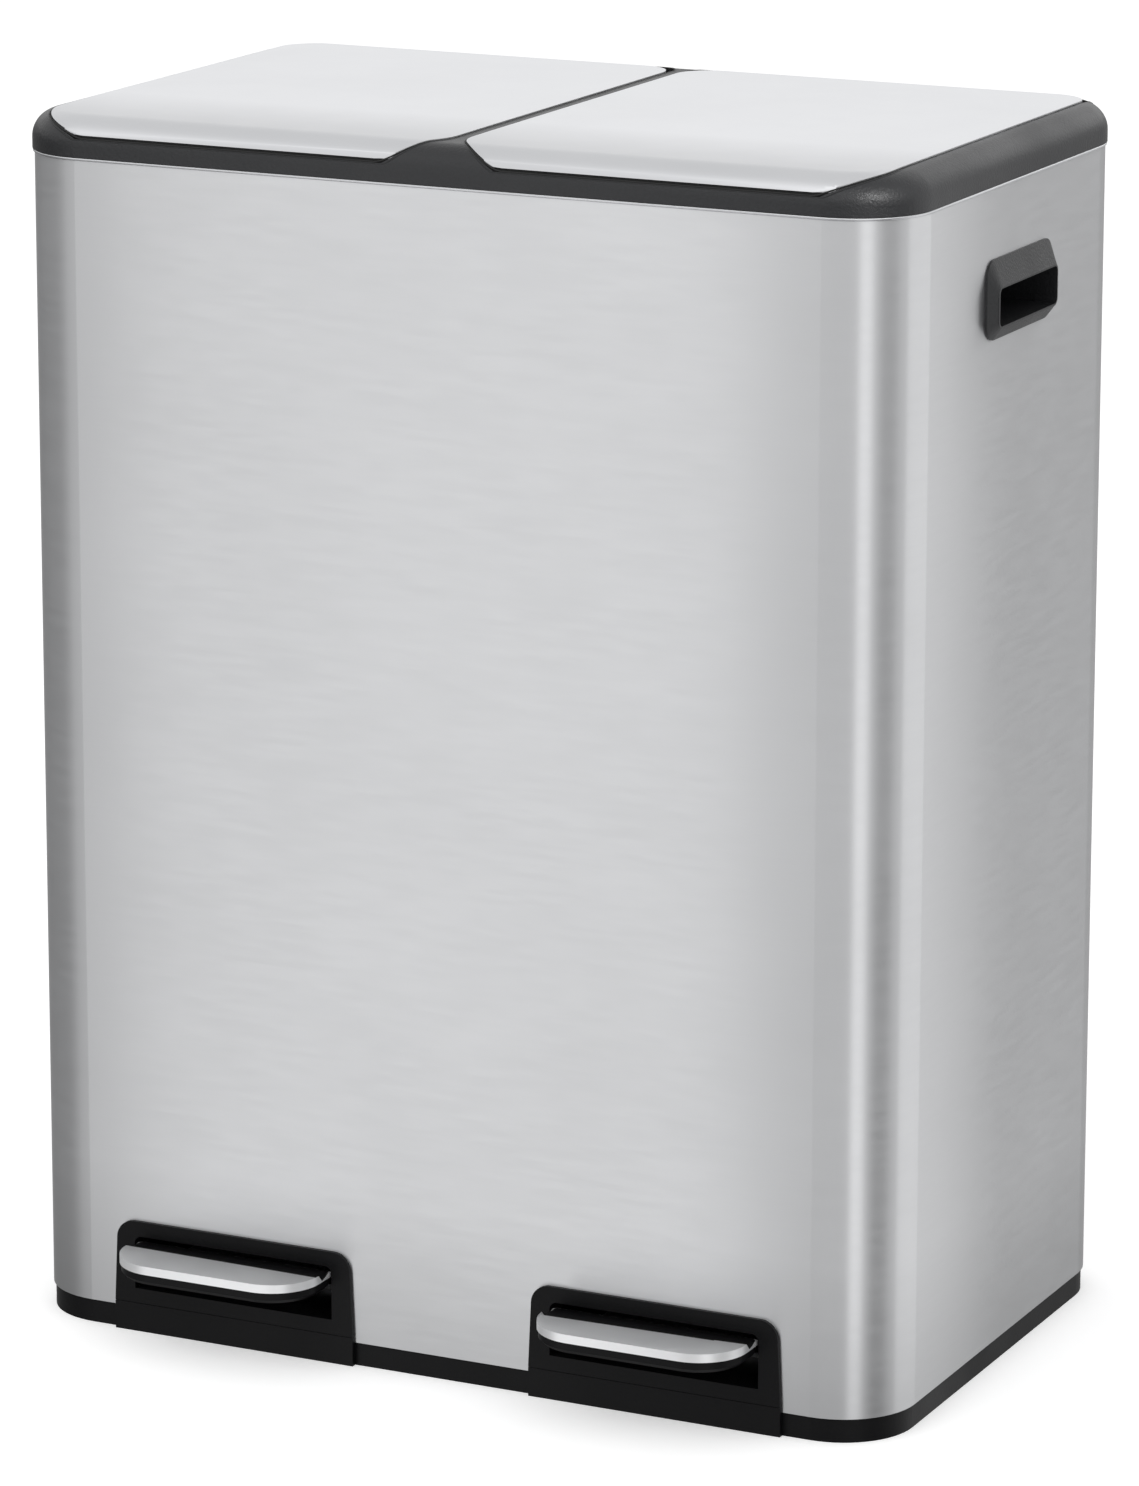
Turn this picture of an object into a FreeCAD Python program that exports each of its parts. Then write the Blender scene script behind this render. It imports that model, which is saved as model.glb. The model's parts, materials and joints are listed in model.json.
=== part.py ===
import FreeCAD, Part
import math
import os

from FreeCAD import Vector

# Double pedal bin. The origin is on the floor, at the centre of the casing's footprint.
# X runs to the right, the front faces -Y and Z runs up. All lengths are in millimetres.
# Every piece that comes in pairs is drawn for the right half and mirrored to the left.

# ---- Drawing aids ----
# Cutting shapes reach this far past what they cut, and corners this close count as level.
overshoot = 1.0
level_tolerance = 1e-6

# ---- Casing ----
body_width = 490.0
body_depth = 305.0
corner_radius = 40.0
sheet_gauge = 0.6
base_height = 12.6
casing_top = 617.5

# ---- Base band and tray ----
base_inset = 1.2
base_wall = 4.0
tray_plate_bottom = 4.0
tray_plate_gauge = 3.0
skirt_wall = 2.4
skirt_clearance = 0.3
tray_skirt_top = 30.0
foot_radius = 11.0
foot_inset_x = 45.0
foot_inset_y = 42.5

# ---- Inner floor ----
floor_top = 69.0
floor_gauge = 3.0
rib_height = 4.0
rib_wall = 2.0
rib_clearance = 1.0
seat_gap = 0.3

# ---- Top rim ----
rim_proud = 1.1
rim_height = 19.7
rim_shoulder = 14.0
pocket_drop = 10.6
rim_collar_depth = 20.0
rim_roof = 3.0
mouth_wall = 2.5
rim_hollow_inset = 5.0

# ---- Lids ----
lid_rise = 0.9
lid_proud = 1.1
lid_shoulder = 14.9
lid_edge_gap = 2.3
lid_side_inset = 14.0
lid_front_inset = 0.1
lid_back_inset = 14.8
lid_half_gap = 4.0
lid_front_radius = 31.0
lid_back_radius = 19.0
lid_back_flange = 3.6
lid_clearance = 1.0
lid_back_clearance = 3.2
pocket_back_radius = 11.0
lid_frame_gauge = 2.5
lid_frame_wall = 2.6
lid_frame_gap = 0.05
frame_back_gap = 9.0
frame_front_inset = 1.3
frame_front_wall = 3.9
lid_open_angle = 80.0
bumper_radius = 3.5
bumper_front_inset = 52.5
bumper_back_inset = 92.5
bumper_gap = 0.3

# ---- Hinges ----
hinge_back_inset = 19.5
hinge_height = 5.9
hinge_spacing = 150.0
knuckle_radius = 3.8
knuckle_width = 10.0
hinge_pin_radius = 1.8
running_clearance = 0.05
ear_gauge = 2.5
ear_gap = 0.4
hinge_plate_gauge = 1.5
hinge_plate_depth = 12.0
hinge_foot_width = 10.4
hinge_screw_radius = 2.6
hinge_screw_head = 1.2

# ---- Buckets ----
bucket_middle_gap = 14.0
bucket_side_gap = 31.0
bucket_front_gap = 18.5
bucket_back_gap = 56.5
bucket_radius = 28.0
bucket_taper = 8.0
bucket_wall = 2.0
bucket_bottom_gauge = 2.5
bucket_drop = 5.5
lip_overhang = 4.5
lip_gauge = 2.5
lip_drop = 8.0
lip_wall = 1.6
mouth_clearance = 1.5
mouth_radius = 12.0

# ---- Bucket bails ----
bail_gauge = 2.5
bail_band = 7.0
bail_rest_gap = 0.3
bail_pivot_drop = 8.0
bail_ear_radius = 6.0
bail_ear_gap = 0.4
bail_stud_radius = 2.5
bail_stud_head_radius = 4.0
bail_stud_head = 1.2

# ---- Pedal surrounds ----
pedal_shift = 2.5
surround_proud = 2.0
surround_half_width = 69.8
surround_taper = 2.0
surround_top = 60.0
surround_corner = 10.0
surround_bottom = 15.6
tab_gap = 0.3
window_half_width = 57.8
window_bottom = 23.5
window_top = 52.0
window_corner = 4.0
sleeve_wall = 2.0
sleeve_depth = 13.0
cutout_clearance = 1.0
cutout_depth = 20.0

# ---- Pedals ----
pedal_half_width = 56.5
pedal_reach = 39.5
pedal_depth = 42.0
pedal_front_corner = 26.0
pedal_back_corner = 3.0
pedal_top = 50.5
pedal_split = 46.0
pedal_bottom = 40.0
pedal_edge_round = 4.0
pad_chamfer = 2.0
cap_inset = 0.8
crease_inset = 11.0
crease_drop = 2.0
lever_gauge = 2.5
lever_half_width = 40.0
lever_front_inset = 10.0
lever_back_reach = 10.0
lever_corner = 8.0
pivot_inset = 92.5
pivot_z = 30.0
pivot_ear_radius = 6.5
axle_radius = 3.0
axle_overhang = 4.5
axle_ear_gauge = 3.0
clip_radius = 5.0
clip_gauge = 1.2
clip_gap = 0.3
bracket_base_gauge = 2.5
bracket_half_depth = 9.0
bracket_screw_radius = 3.0
bracket_screw_head = 1.6
rivet_radius = 3.0
rivet_height = 1.2

# ---- Lift rods, cranks and lever tails ----
rod_back_inset = 28.5
rod_radius = 2.5
crank_radius = 20.0
arm_gap = 0.7
arm_gauge = 3.0
arm_end_radius = 4.5
pin_radius = 2.0
pin_head_radius = 3.5
pin_head = 1.5
pin_head_gap = 0.5
head_gauge = 3.0
slot_play = 0.62
slot_end_play = 0.6
slot_wall = 2.4
foot_slot_travel = 2.0
tail_half_height = 5.0
crank_foot_width = 14.0
crank_foot_gauge = 2.0
crank_foot_depth = 9.4
rod_hole_radius = 5.0
rod_slot_half_width = 9.5
rod_slot_front_reach = 19.5
rod_slot_back_reach = 15.0

# ---- Rod guides and dampers ----
guide_half_width = 8.0
guide_front_reach = 8.0
lower_guide_z = 200.0
upper_guide_drop = 65.5
guide_height = 14.0
damper_offset = 24.0
damper_back_offset = 7.0
damper_radius = 7.0
damper_bore = 5.5
damper_drop = 45.5
damper_length = 102.0
damper_cap = 6.0
damper_margin = 2.0
piston_radius = 2.0
piston_reach = 72.0
piston_head = 6.0
link_drop = 29.5
link_height = 6.0
link_wall = 2.5
guide_rivet_radius = 3.5
guide_rivet_height = 1.1
guide_rivet_spacing = 8.0

# ---- Side handles ----
handle_centre_y = 2.0
handle_drop = 56.8
handle_width = 86.0
handle_height = 40.5
handle_corner = 9.0
handle_step = 1.0
handle_rise = 6.0
grip_width = 76.5
grip_below = 12.7
grip_height = 19.0
grip_corner = 3.0
grip_ridge = 0.8
pocket_depth = 26.0
pocket_wall = 2.0
pocket_headroom = 8.0
pocket_step = 6.0
handle_screw_radius = 3.0
handle_screw_head = 1.2
handle_screw_offset = 20.0

# ---- Worked out from the sizes above ----
half_width = body_width / 2
half_depth = body_depth / 2
front_face = -half_depth
back_face = half_depth
inner_back = back_face - sheet_gauge
rim_top = casing_top + rim_height
pocket_floor = rim_top - pocket_drop
lid_top = rim_top + lid_rise
lid_edge = pocket_floor + lid_edge_gap
hinge_y = back_face - hinge_back_inset
hinge_z = pocket_floor + hinge_height
lid_frame_back = hinge_y - frame_back_gap
pedal_centre = half_width / 2 - pedal_shift
pedal_front = front_face - pedal_reach
pedal_back = pedal_front + pedal_depth
crease_y = pedal_back - crease_inset
pivot_y = front_face + pivot_inset
lever_front = pedal_front + lever_front_inset
lever_back = pivot_y + lever_back_reach
bucket_width = half_width - bucket_middle_gap - bucket_side_gap
bucket_depth = body_depth - bucket_front_gap - bucket_back_gap
bucket_centre_x = bucket_middle_gap + bucket_width / 2
bucket_centre_y = front_face + bucket_front_gap + bucket_depth / 2
bucket_top = casing_top - bucket_drop
bail_pivot_z = bucket_top - bail_pivot_drop
rod_y = back_face - rod_back_inset
rod_slot_front = rod_y - rod_slot_front_reach
rod_slot_back = rod_y + rod_slot_back_reach
upper_guide_z = casing_top - upper_guide_drop
damper_y = rod_y + damper_back_offset
damper_top = casing_top - damper_drop
damper_bottom = damper_top - damper_length
piston_bottom = damper_top - piston_reach
link_bottom = casing_top - link_drop
handle_centre_z = casing_top - handle_drop
grip_bottom = handle_centre_z - grip_below
grip_top = grip_bottom + grip_height
crank_half_swing = math.radians(lid_open_angle / 2)
crank_pin_y = hinge_y - crank_radius * math.cos(crank_half_swing)
crank_pin_z = hinge_z - crank_radius * math.sin(crank_half_swing)
rod_rise = 2 * crank_radius * math.sin(crank_half_swing)
crank_bulge = crank_radius - crank_radius * math.cos(crank_half_swing)
tail_length = rod_y - pivot_y
tail_half_swing = math.asin(rod_rise / 2 / tail_length)
pedal_angle = math.degrees(2 * tail_half_swing)
tail_pin_z = pivot_z - tail_length * math.sin(tail_half_swing)
slot_half_height = pin_radius + slot_play
head_half_height = slot_half_height + slot_wall
arm_near = rod_radius + arm_gap
arm_far = arm_near + arm_gauge
mouth_grow = lip_overhang + mouth_clearance
tray_plate_top = tray_plate_bottom + tray_plate_gauge
skirt_inset = sheet_gauge + skirt_clearance


# ---- Shapes used more than once ----
def box(x0, x1, y0, y1, z0, z1):
    """Block between two corners."""
    return Part.makeBox(x1 - x0, y1 - y0, z1 - z0, Vector(x0, y0, z0))


def rod_x(x0, x1, y, z, radius):
    """Round bar along X."""
    return Part.makeCylinder(radius, x1 - x0, Vector(x0, y, z), Vector(1, 0, 0))


def rod_z(x, y, z0, z1, radius):
    """Round bar along Z."""
    return Part.makeCylinder(radius, z1 - z0, Vector(x, y, z0), Vector(0, 0, 1))


def rounded_wire(x0, x1, y0, y1, front_radius, back_radius, z):
    """Closed outline of lines and corner arcs, level at height z."""
    corners = (
        (x0 + front_radius, y0 + front_radius, front_radius, 180),
        (x1 - front_radius, y0 + front_radius, front_radius, 270),
        (x1 - back_radius, y1 - back_radius, back_radius, 0),
        (x0 + back_radius, y1 - back_radius, back_radius, 90),
    )
    up = Vector(0, 0, 1)
    arcs = [Part.makeCircle(r, Vector(x, y, z), up, turn, turn + 90) for x, y, r, turn in corners]
    edges = []
    for arc, following in zip(arcs, arcs[1:] + arcs[:1]):
        edges.append(arc)
        start, end = arc.valueAt(arc.LastParameter), following.valueAt(following.FirstParameter)
        edges.append(Part.makeLine(start, end))
    return Part.Wire(edges)


def rounded_prism(x0, x1, y0, y1, front_radius, back_radius, z0, z1):
    """Upright block with rounded plan corners."""
    wire = rounded_wire(x0, x1, y0, y1, front_radius, back_radius, z0)
    return Part.Face(wire).extrude(Vector(0, 0, z1 - z0))


def casing_prism(inset, z0, z1):
    """Block with the casing's plan outline, drawn in by an inset."""
    radius = corner_radius - inset
    x, y = half_width - inset, half_depth - inset
    return rounded_prism(-x, x, -y, y, radius, radius, z0, z1)


def casing_ring(inset, wall, z0, z1):
    """Wall of even thickness that follows the casing's plan outline."""
    return casing_prism(inset, z0, z1).cut(casing_prism(inset + wall, z0 - overshoot, z1 + overshoot))


def edges_at(block, z):
    """Edges of a block that lie level at height z."""
    return [edge for edge in block.Edges if all(abs(v.Z - z) < level_tolerance for v in edge.Vertexes)]


def draped_block(proud, shoulder, z0, top):
    """Block with the casing's outline and a rounded shoulder all round its top."""
    block = casing_prism(-proud, top - 2 * shoulder, top)
    rounded = block.makeFillet(shoulder, edges_at(block, top))
    return rounded.common(casing_prism(-proud - overshoot, z0, top + overshoot))


def plate_x(points, x0, x1):
    """Plate across X, cut to an outline of (y, z) points."""
    outline = Part.makePolygon([Vector(x0, y, z) for y, z in points + points[:1]])
    return Part.Face(outline).extrude(Vector(x1 - x0, 0, 0))


def window_block(centre, half_low, half_high, z0, z1, corner, y0, y1):
    """Block along Y whose outline narrows upwards and has two rounded top corners."""
    points = [
        (centre - half_low, z0), (centre + half_low, z0), (centre + half_high, z1), (centre - half_high, z1),
    ]
    outline = Part.makePolygon([Vector(x, y0, z) for x, z in points + points[:1]])
    block = Part.Face(outline).extrude(Vector(0, y1 - y0, 0))
    corners = [edge for edge in edges_at(block, z1) if edge.BoundBox.XLength < level_tolerance]
    return block.makeFillet(corner, corners)


def rounded_wire_x(y0, y1, z0, z1, radius, x):
    """Closed outline with rounded corners, upright in the plane at x."""
    flat = rounded_wire(y0, y1, z0, z1, radius, radius, 0)
    turn = FreeCAD.Matrix(0, 0, 1, x, 1, 0, 0, 0, 0, 1, 0, 0, 0, 0, 0, 1)
    return flat.transformGeometry(turn)


def join(first, *others):
    """One solid out of pieces that touch or overlap."""
    return first.fuse(list(others)).removeSplitter()


def mirrored(shape):
    """The left-hand twin of a right-hand piece."""
    return shape.mirror(Vector(0, 0, 0), Vector(1, 0, 0))


def both(shape):
    """A right-hand piece together with its left-hand twin."""
    return Part.makeCompound([shape, mirrored(shape)])


# ---- Casing ----
def pedal_cutout(z0, y0, y1):
    """Room for one pedal surround's sleeve."""
    half = window_half_width + sleeve_wall + cutout_clearance
    top = window_top + sleeve_wall + cutout_clearance
    return window_block(pedal_centre, half, half, z0, top, window_corner, y0, y1)


def handle_cutout():
    """Room for one side handle's pocket."""
    reach = grip_width / 2 + pocket_wall + cutout_clearance
    return box(half_width - cutout_depth, half_width + overshoot,
               handle_centre_y - reach, handle_centre_y + reach,
               grip_bottom - pocket_wall - cutout_clearance,
               grip_top + pocket_headroom + pocket_wall + cutout_clearance)


def make_casing():
    """Bent steel sheet, open at the top and the bottom."""
    sheet = casing_ring(0, sheet_gauge, base_height, casing_top)
    pedal_room = pedal_cutout(base_height - overshoot, front_face - overshoot, front_face + cutout_depth)
    return sheet.cut(both(pedal_room)).cut(both(handle_cutout()))


# ---- Base ----
def base_tab():
    """Front of the base band where it stands proud under a pedal surround."""
    return box(pedal_centre - surround_half_width, pedal_centre + surround_half_width,
               front_face - surround_proud, front_face + base_inset + base_wall / 2,
               0, surround_bottom - tab_gap)


def make_base_band():
    """Base band with the skirt that centres the casing and a tab under each pedal surround."""
    band = casing_ring(base_inset, base_wall, 0, base_height)
    skirt = casing_ring(skirt_inset, skirt_wall, base_height, tray_skirt_top)
    band = join(band, skirt, base_tab(), mirrored(base_tab()))
    half = window_half_width + sleeve_wall + cutout_clearance
    notch = box(pedal_centre - half, pedal_centre + half, front_face + skirt_inset - skirt_clearance,
                front_face + cutout_depth, surround_bottom - tab_gap, tray_skirt_top + overshoot)
    return band.cut(both(notch)).cut(make_casing())


def make_tray_plate():
    """Flat plate that closes the base inside its band."""
    return casing_prism(base_inset + base_wall, tray_plate_bottom, tray_plate_top)


def make_feet():
    """Rubber feet, level with the bottom of the base band."""
    reach_x, reach_y = half_width - foot_inset_x, half_depth - foot_inset_y
    feet = [rod_z(x * reach_x, y * reach_y, 0, tray_plate_bottom, foot_radius)
            for x in (-1, 1) for y in (-1, 1)]
    return Part.makeCompound(feet)


# ---- Inner floor ----
def bucket_seat():
    """Low rib that places one bucket."""
    grow = rib_clearance + rib_wall
    inner = bucket_outline(bucket_taper - rib_clearance, floor_top, floor_top + rib_height)
    outer = bucket_outline(bucket_taper - grow, floor_top, floor_top + rib_height)
    return outer.cut(inner)


def make_inner_floor():
    """Raised floor with a seat for each bucket and a hole for each lift rod."""
    plate = casing_prism(skirt_inset, floor_top - floor_gauge, floor_top)
    deck = join(plate, bucket_seat(), mirrored(bucket_seat()))
    hole = rod_z(pedal_centre, rod_y, floor_top - floor_gauge - overshoot, floor_top + overshoot,
                 rod_hole_radius)
    return deck.cut(both(hole))


def make_floor_skirt():
    """Skirt that carries the raised floor on the base, open round each pedal surround."""
    skirt = casing_ring(skirt_inset, skirt_wall, tray_skirt_top, floor_top - floor_gauge)
    room = pedal_cutout(tray_skirt_top - overshoot, front_face, front_face + cutout_depth)
    return skirt.cut(both(room))


# ---- Top rim ----
def lid_outline(gap, front_gap, z0, z1):
    """Block with one lid's plan outline, grown by gaps."""
    return rounded_prism(lid_half_gap - gap, half_width - lid_side_inset + gap,
                         front_face + lid_front_inset - front_gap, back_face - lid_back_inset + gap,
                         lid_front_radius + gap, lid_back_radius + gap, z0, z1)


def lid_pocket():
    """Room for one lid in the rim, wider at the back where the lid's edge swings down."""
    return rounded_prism(lid_half_gap - lid_clearance, half_width - lid_side_inset + lid_clearance,
                         front_face + lid_front_inset - lid_clearance,
                         back_face - lid_back_inset + lid_back_clearance,
                         lid_front_radius + lid_clearance, pocket_back_radius,
                         pocket_floor, rim_top + overshoot)


def mouth_block(grow, z0, z1):
    """Block with the plan outline of one mouth, grown by an even margin."""
    x, y = bucket_width / 2 + mouth_grow + grow, bucket_depth / 2 + mouth_grow + grow
    return rounded_prism(bucket_centre_x - x, bucket_centre_x + x, bucket_centre_y - y, bucket_centre_y + y,
                         mouth_radius + grow, mouth_radius + grow, z0, z1)


def make_rim():
    """Moulded rim with two lid pockets, two mouths and two crank slots."""
    rim = draped_block(rim_proud, rim_shoulder, casing_top, rim_top)
    mouth = mouth_block(0, casing_top - overshoot, rim_top + overshoot)
    collar = mouth_block(mouth_wall, casing_top - overshoot, pocket_floor)
    hollow = casing_prism(rim_hollow_inset, casing_top - overshoot, pocket_floor - rim_roof)
    hollow = hollow.cut(collar).cut(mirrored(collar))
    slot = box(pedal_centre - rod_slot_half_width, pedal_centre + rod_slot_half_width,
               rod_slot_front, rod_slot_back, casing_top - overshoot, rim_top + overshoot)
    return rim.cut(both(lid_pocket())).cut(both(mouth)).cut(hollow).cut(both(slot))


def make_rim_collar():
    """Collar under the rim that fits inside the casing."""
    return casing_ring(skirt_inset, skirt_wall, casing_top - rim_collar_depth, casing_top)


# ---- Lids ----
def make_lid_cover():
    """Pressed steel cover that curves down over the front shoulder."""
    outer = draped_block(lid_proud, lid_shoulder, lid_edge, lid_top)
    inner = draped_block(lid_proud - sheet_gauge, lid_shoulder - sheet_gauge,
                         lid_edge - overshoot, lid_top - sheet_gauge)
    core = inner.common(lid_outline(-sheet_gauge, lid_clearance, lid_edge - overshoot, lid_top))
    cover = outer.common(lid_outline(0, 0, lid_edge, lid_top + overshoot)).cut(core)
    short_back = box(0, half_width, lid_frame_back, back_face,
                     lid_edge - overshoot, lid_top - lid_back_flange)
    return cover.cut(short_back)


def hinge_places():
    """Middle of each hinge along the right lid."""
    return [pedal_centre + side * hinge_spacing / 2 for side in (-1, 1)]


def knuckle(x):
    """Round end of a lid frame's arm about the hinge pin."""
    x0, x1 = x - knuckle_width / 2, x + knuckle_width / 2
    arm = box(x0, x1, lid_frame_back - lid_frame_wall, hinge_y,
              hinge_z - knuckle_radius / 2, hinge_z + knuckle_radius)
    return join(rod_x(x0, x1, hinge_y, hinge_z, knuckle_radius), arm)


def make_lid_frame():
    """Plastic frame inside the cover, with an edge wall below and two hinge knuckles."""
    skin = sheet_gauge + lid_frame_gap
    core_skin = skin + lid_frame_gauge
    body = draped_block(lid_proud - skin, lid_shoulder - skin, lid_edge, lid_top - skin)
    body = body.common(lid_outline(-skin, -frame_front_inset, lid_edge, lid_top))
    wall = skin + lid_frame_wall
    room = draped_block(lid_proud - core_skin, lid_shoulder - core_skin,
                        lid_edge - overshoot, lid_top - core_skin)
    room = room.common(lid_outline(-wall, -frame_front_inset - frame_front_wall,
                                   lid_edge - overshoot, lid_top))
    behind = box(0, half_width, lid_frame_back, back_face, lid_edge - overshoot, lid_top + overshoot)
    back_wall = box(lid_half_gap + lid_back_radius, half_width - lid_side_inset - lid_back_radius,
                    lid_frame_back - lid_frame_wall, lid_frame_back,
                    hinge_z - knuckle_radius / 2, lid_top - core_skin)
    crank_room = box(pedal_centre - rod_slot_half_width, pedal_centre + arm_near + crank_foot_width + arm_gap,
                     lid_frame_back - lid_frame_wall - overshoot, back_face, lid_edge, lid_top - core_skin)
    frame = join(body.cut(room).cut(behind), back_wall.cut(crank_room), *[knuckle(x) for x in hinge_places()])
    for x in hinge_places():
        frame = frame.cut(rod_x(x - knuckle_width, x + knuckle_width, hinge_y, hinge_z,
                                hinge_pin_radius + running_clearance))
    return frame


def make_lid_bumpers():
    """Rubber bumpers under the outer side of one lid, above the pocket's ledge."""
    x = half_width - lid_side_inset - 2 * bumper_radius
    bottom = pocket_floor + bumper_gap
    top = lid_top - sheet_gauge - lid_frame_gap - lid_frame_gauge
    places = (front_face + bumper_front_inset, back_face - bumper_back_inset)
    return Part.makeCompound([rod_z(x, y, bottom, top, bumper_radius) for y in places])


# ---- Hinges ----
def hinge_ear(x0, x1):
    """Ear that carries the hinge pin, leaning forward clear of the lid's back flange."""
    foot = pocket_floor + hinge_plate_gauge
    points = [
        (hinge_y - hinge_plate_depth / 2 - knuckle_radius, foot), (hinge_y, foot),
        (hinge_y, hinge_z), (hinge_y - knuckle_radius, hinge_z),
    ]
    return join(plate_x(points, x0, x1), rod_x(x0, x1, hinge_y, hinge_z, knuckle_radius))


def make_hinge_brackets():
    """Two brackets on the pocket floor, each with a pair of ears."""
    brackets = []
    reach = knuckle_width / 2 + ear_gap
    for x in hinge_places():
        plate = box(x - reach - ear_gauge, x + reach + ear_gauge + hinge_foot_width,
                    hinge_y - hinge_plate_depth, hinge_y, pocket_floor, pocket_floor + hinge_plate_gauge)
        ears = [hinge_ear(x + reach, x + reach + ear_gauge), hinge_ear(x - reach - ear_gauge, x - reach)]
        bracket = join(plate, *ears)
        bore = rod_x(x - 2 * reach, x + 2 * reach, hinge_y, hinge_z, hinge_pin_radius)
        brackets.append(bracket.cut(bore))
    return Part.makeCompound(brackets)


def make_hinge_pins():
    """Steel pins through the ears and knuckles."""
    reach = knuckle_width / 2 + ear_gap + ear_gauge
    return Part.makeCompound([rod_x(x - reach, x + reach, hinge_y, hinge_z, hinge_pin_radius)
                              for x in hinge_places()])


def make_hinge_screws():
    """Screw head beside each hinge."""
    reach = knuckle_width / 2 + ear_gap + ear_gauge + hinge_foot_width / 2
    foot = pocket_floor + hinge_plate_gauge
    return Part.makeCompound([rod_z(x + reach, hinge_y - hinge_plate_depth / 2, foot,
                                    foot + hinge_screw_head, hinge_screw_radius) for x in hinge_places()])


# ---- Cranks ----
def arm_pin(y, z):
    """Pin and head that reach from an arm through a rod's slotted head."""
    shaft_start = pedal_centre - head_gauge / 2 - pin_head_gap
    shaft = rod_x(shaft_start, pedal_centre + arm_near, y, z, pin_radius)
    return join(shaft, rod_x(shaft_start - pin_head, shaft_start, y, z, pin_head_radius))


def make_crank():
    """Steel crank under a lid, with the foot that fixes it to the frame."""
    top = lid_top - sheet_gauge - lid_frame_gap - lid_frame_gauge
    x0, x1 = pedal_centre + arm_near, pedal_centre + arm_far
    back = lid_frame_back - lid_frame_wall
    foot_front = back - crank_foot_depth
    points = [
        (foot_front, top), (crank_pin_y - arm_end_radius, crank_pin_z),
        (crank_pin_y + arm_end_radius, crank_pin_z), (back, top),
    ]
    arm = join(plate_x(points, x0, x1), rod_x(x0, x1, crank_pin_y, crank_pin_z, arm_end_radius))
    foot = box(x0, x0 + crank_foot_width, foot_front, back, top - crank_foot_gauge, top)
    return join(arm, foot, arm_pin(crank_pin_y, crank_pin_z))


# ---- Lift rods ----
def slotted_head(slot_front, slot_back, z):
    """Flat head with a level slot, on the rod's axis."""
    x0, x1 = pedal_centre - head_gauge / 2, pedal_centre + head_gauge / 2
    front, back = slot_front - slot_wall, max(slot_back + slot_wall, rod_y + rod_radius)
    head = box(x0, x1, front, back, z - head_half_height, z + head_half_height)
    slot = box(x0 - overshoot, x1 + overshoot, slot_front, slot_back,
               z - slot_half_height, z + slot_half_height)
    return head, slot


def make_lift_rod():
    """Round rod with a slotted head for the lever's tail below and for the crank above."""
    upper = slotted_head(crank_pin_y - crank_bulge - pin_radius - slot_end_play,
                         crank_pin_y + pin_radius + slot_end_play, crank_pin_z)
    reach = pin_radius + foot_slot_travel
    lower = slotted_head(rod_y - reach, rod_y + reach, tail_pin_z)
    foot = tail_pin_z + pin_head_radius + pin_head_gap
    shaft = rod_z(pedal_centre, rod_y, foot, crank_pin_z + head_half_height, rod_radius)
    return join(shaft, upper[0], lower[0]).cut(upper[1]).cut(lower[1])


def make_damper_link():
    """Link that ties the damper's piston to the lift rod."""
    top = link_bottom + link_height
    ends = (
        rod_z(pedal_centre, rod_y, link_bottom, top, rod_radius + link_wall),
        rod_z(pedal_centre + damper_offset, damper_y, link_bottom, top, piston_radius + link_wall),
    )
    bar = box(pedal_centre, pedal_centre + damper_offset, rod_y, damper_y, link_bottom, top)
    link = join(ends[0], ends[1], bar)
    link = link.cut(rod_z(pedal_centre, rod_y, link_bottom - overshoot, top + overshoot, rod_radius))
    return link.cut(rod_z(pedal_centre + damper_offset, damper_y,
                          link_bottom - overshoot, top + overshoot, piston_radius))


def make_piston():
    """Damper piston on its rod."""
    x = pedal_centre + damper_offset
    stem = rod_z(x, damper_y, piston_bottom, link_bottom + link_height, piston_radius)
    head = rod_z(x, damper_y, piston_bottom, piston_bottom + piston_head, damper_bore - running_clearance)
    return join(stem, head)


def make_damper_cylinder():
    """Damper cylinder with a closed foot and a bored cap."""
    x = pedal_centre + damper_offset
    body = rod_z(x, damper_y, damper_bottom, damper_top, damper_radius)
    bore = rod_z(x, damper_y, damper_bottom + damper_cap, damper_top - damper_cap, damper_bore)
    throat = rod_z(x, damper_y, damper_bottom + damper_cap, damper_top + overshoot,
                   piston_radius + running_clearance)
    return body.cut(bore).cut(throat)


# ---- Rod guides ----
def make_guides():
    """Lower and upper guide on the back wall; the upper one holds the damper too."""
    guides = []
    for z, far in ((lower_guide_z, guide_half_width),
                   (upper_guide_z, damper_offset + damper_radius + damper_margin)):
        block = box(pedal_centre - guide_half_width, pedal_centre + far, rod_y - guide_front_reach, inner_back,
                    z, z + guide_height)
        block = block.cut(rod_z(pedal_centre, rod_y, z - overshoot, z + guide_height + overshoot,
                                rod_radius + running_clearance))
        guides.append(block)
    cylinder = rod_z(pedal_centre + damper_offset, damper_y, damper_bottom, damper_top, damper_radius)
    guides[1] = guides[1].cut(cylinder)
    return Part.makeCompound(guides)


def make_guide_rivets():
    """Rivet heads on the back of the casing, one pair per guide."""
    heads = []
    for z in (lower_guide_z, upper_guide_z):
        for side in (-1, 1):
            start = Vector(pedal_centre + side * guide_rivet_spacing / 2, back_face, z + guide_height / 2)
            heads.append(Part.makeCylinder(guide_rivet_radius, guide_rivet_height, start, Vector(0, 1, 0)))
    return both(Part.makeCompound(heads))


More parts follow.
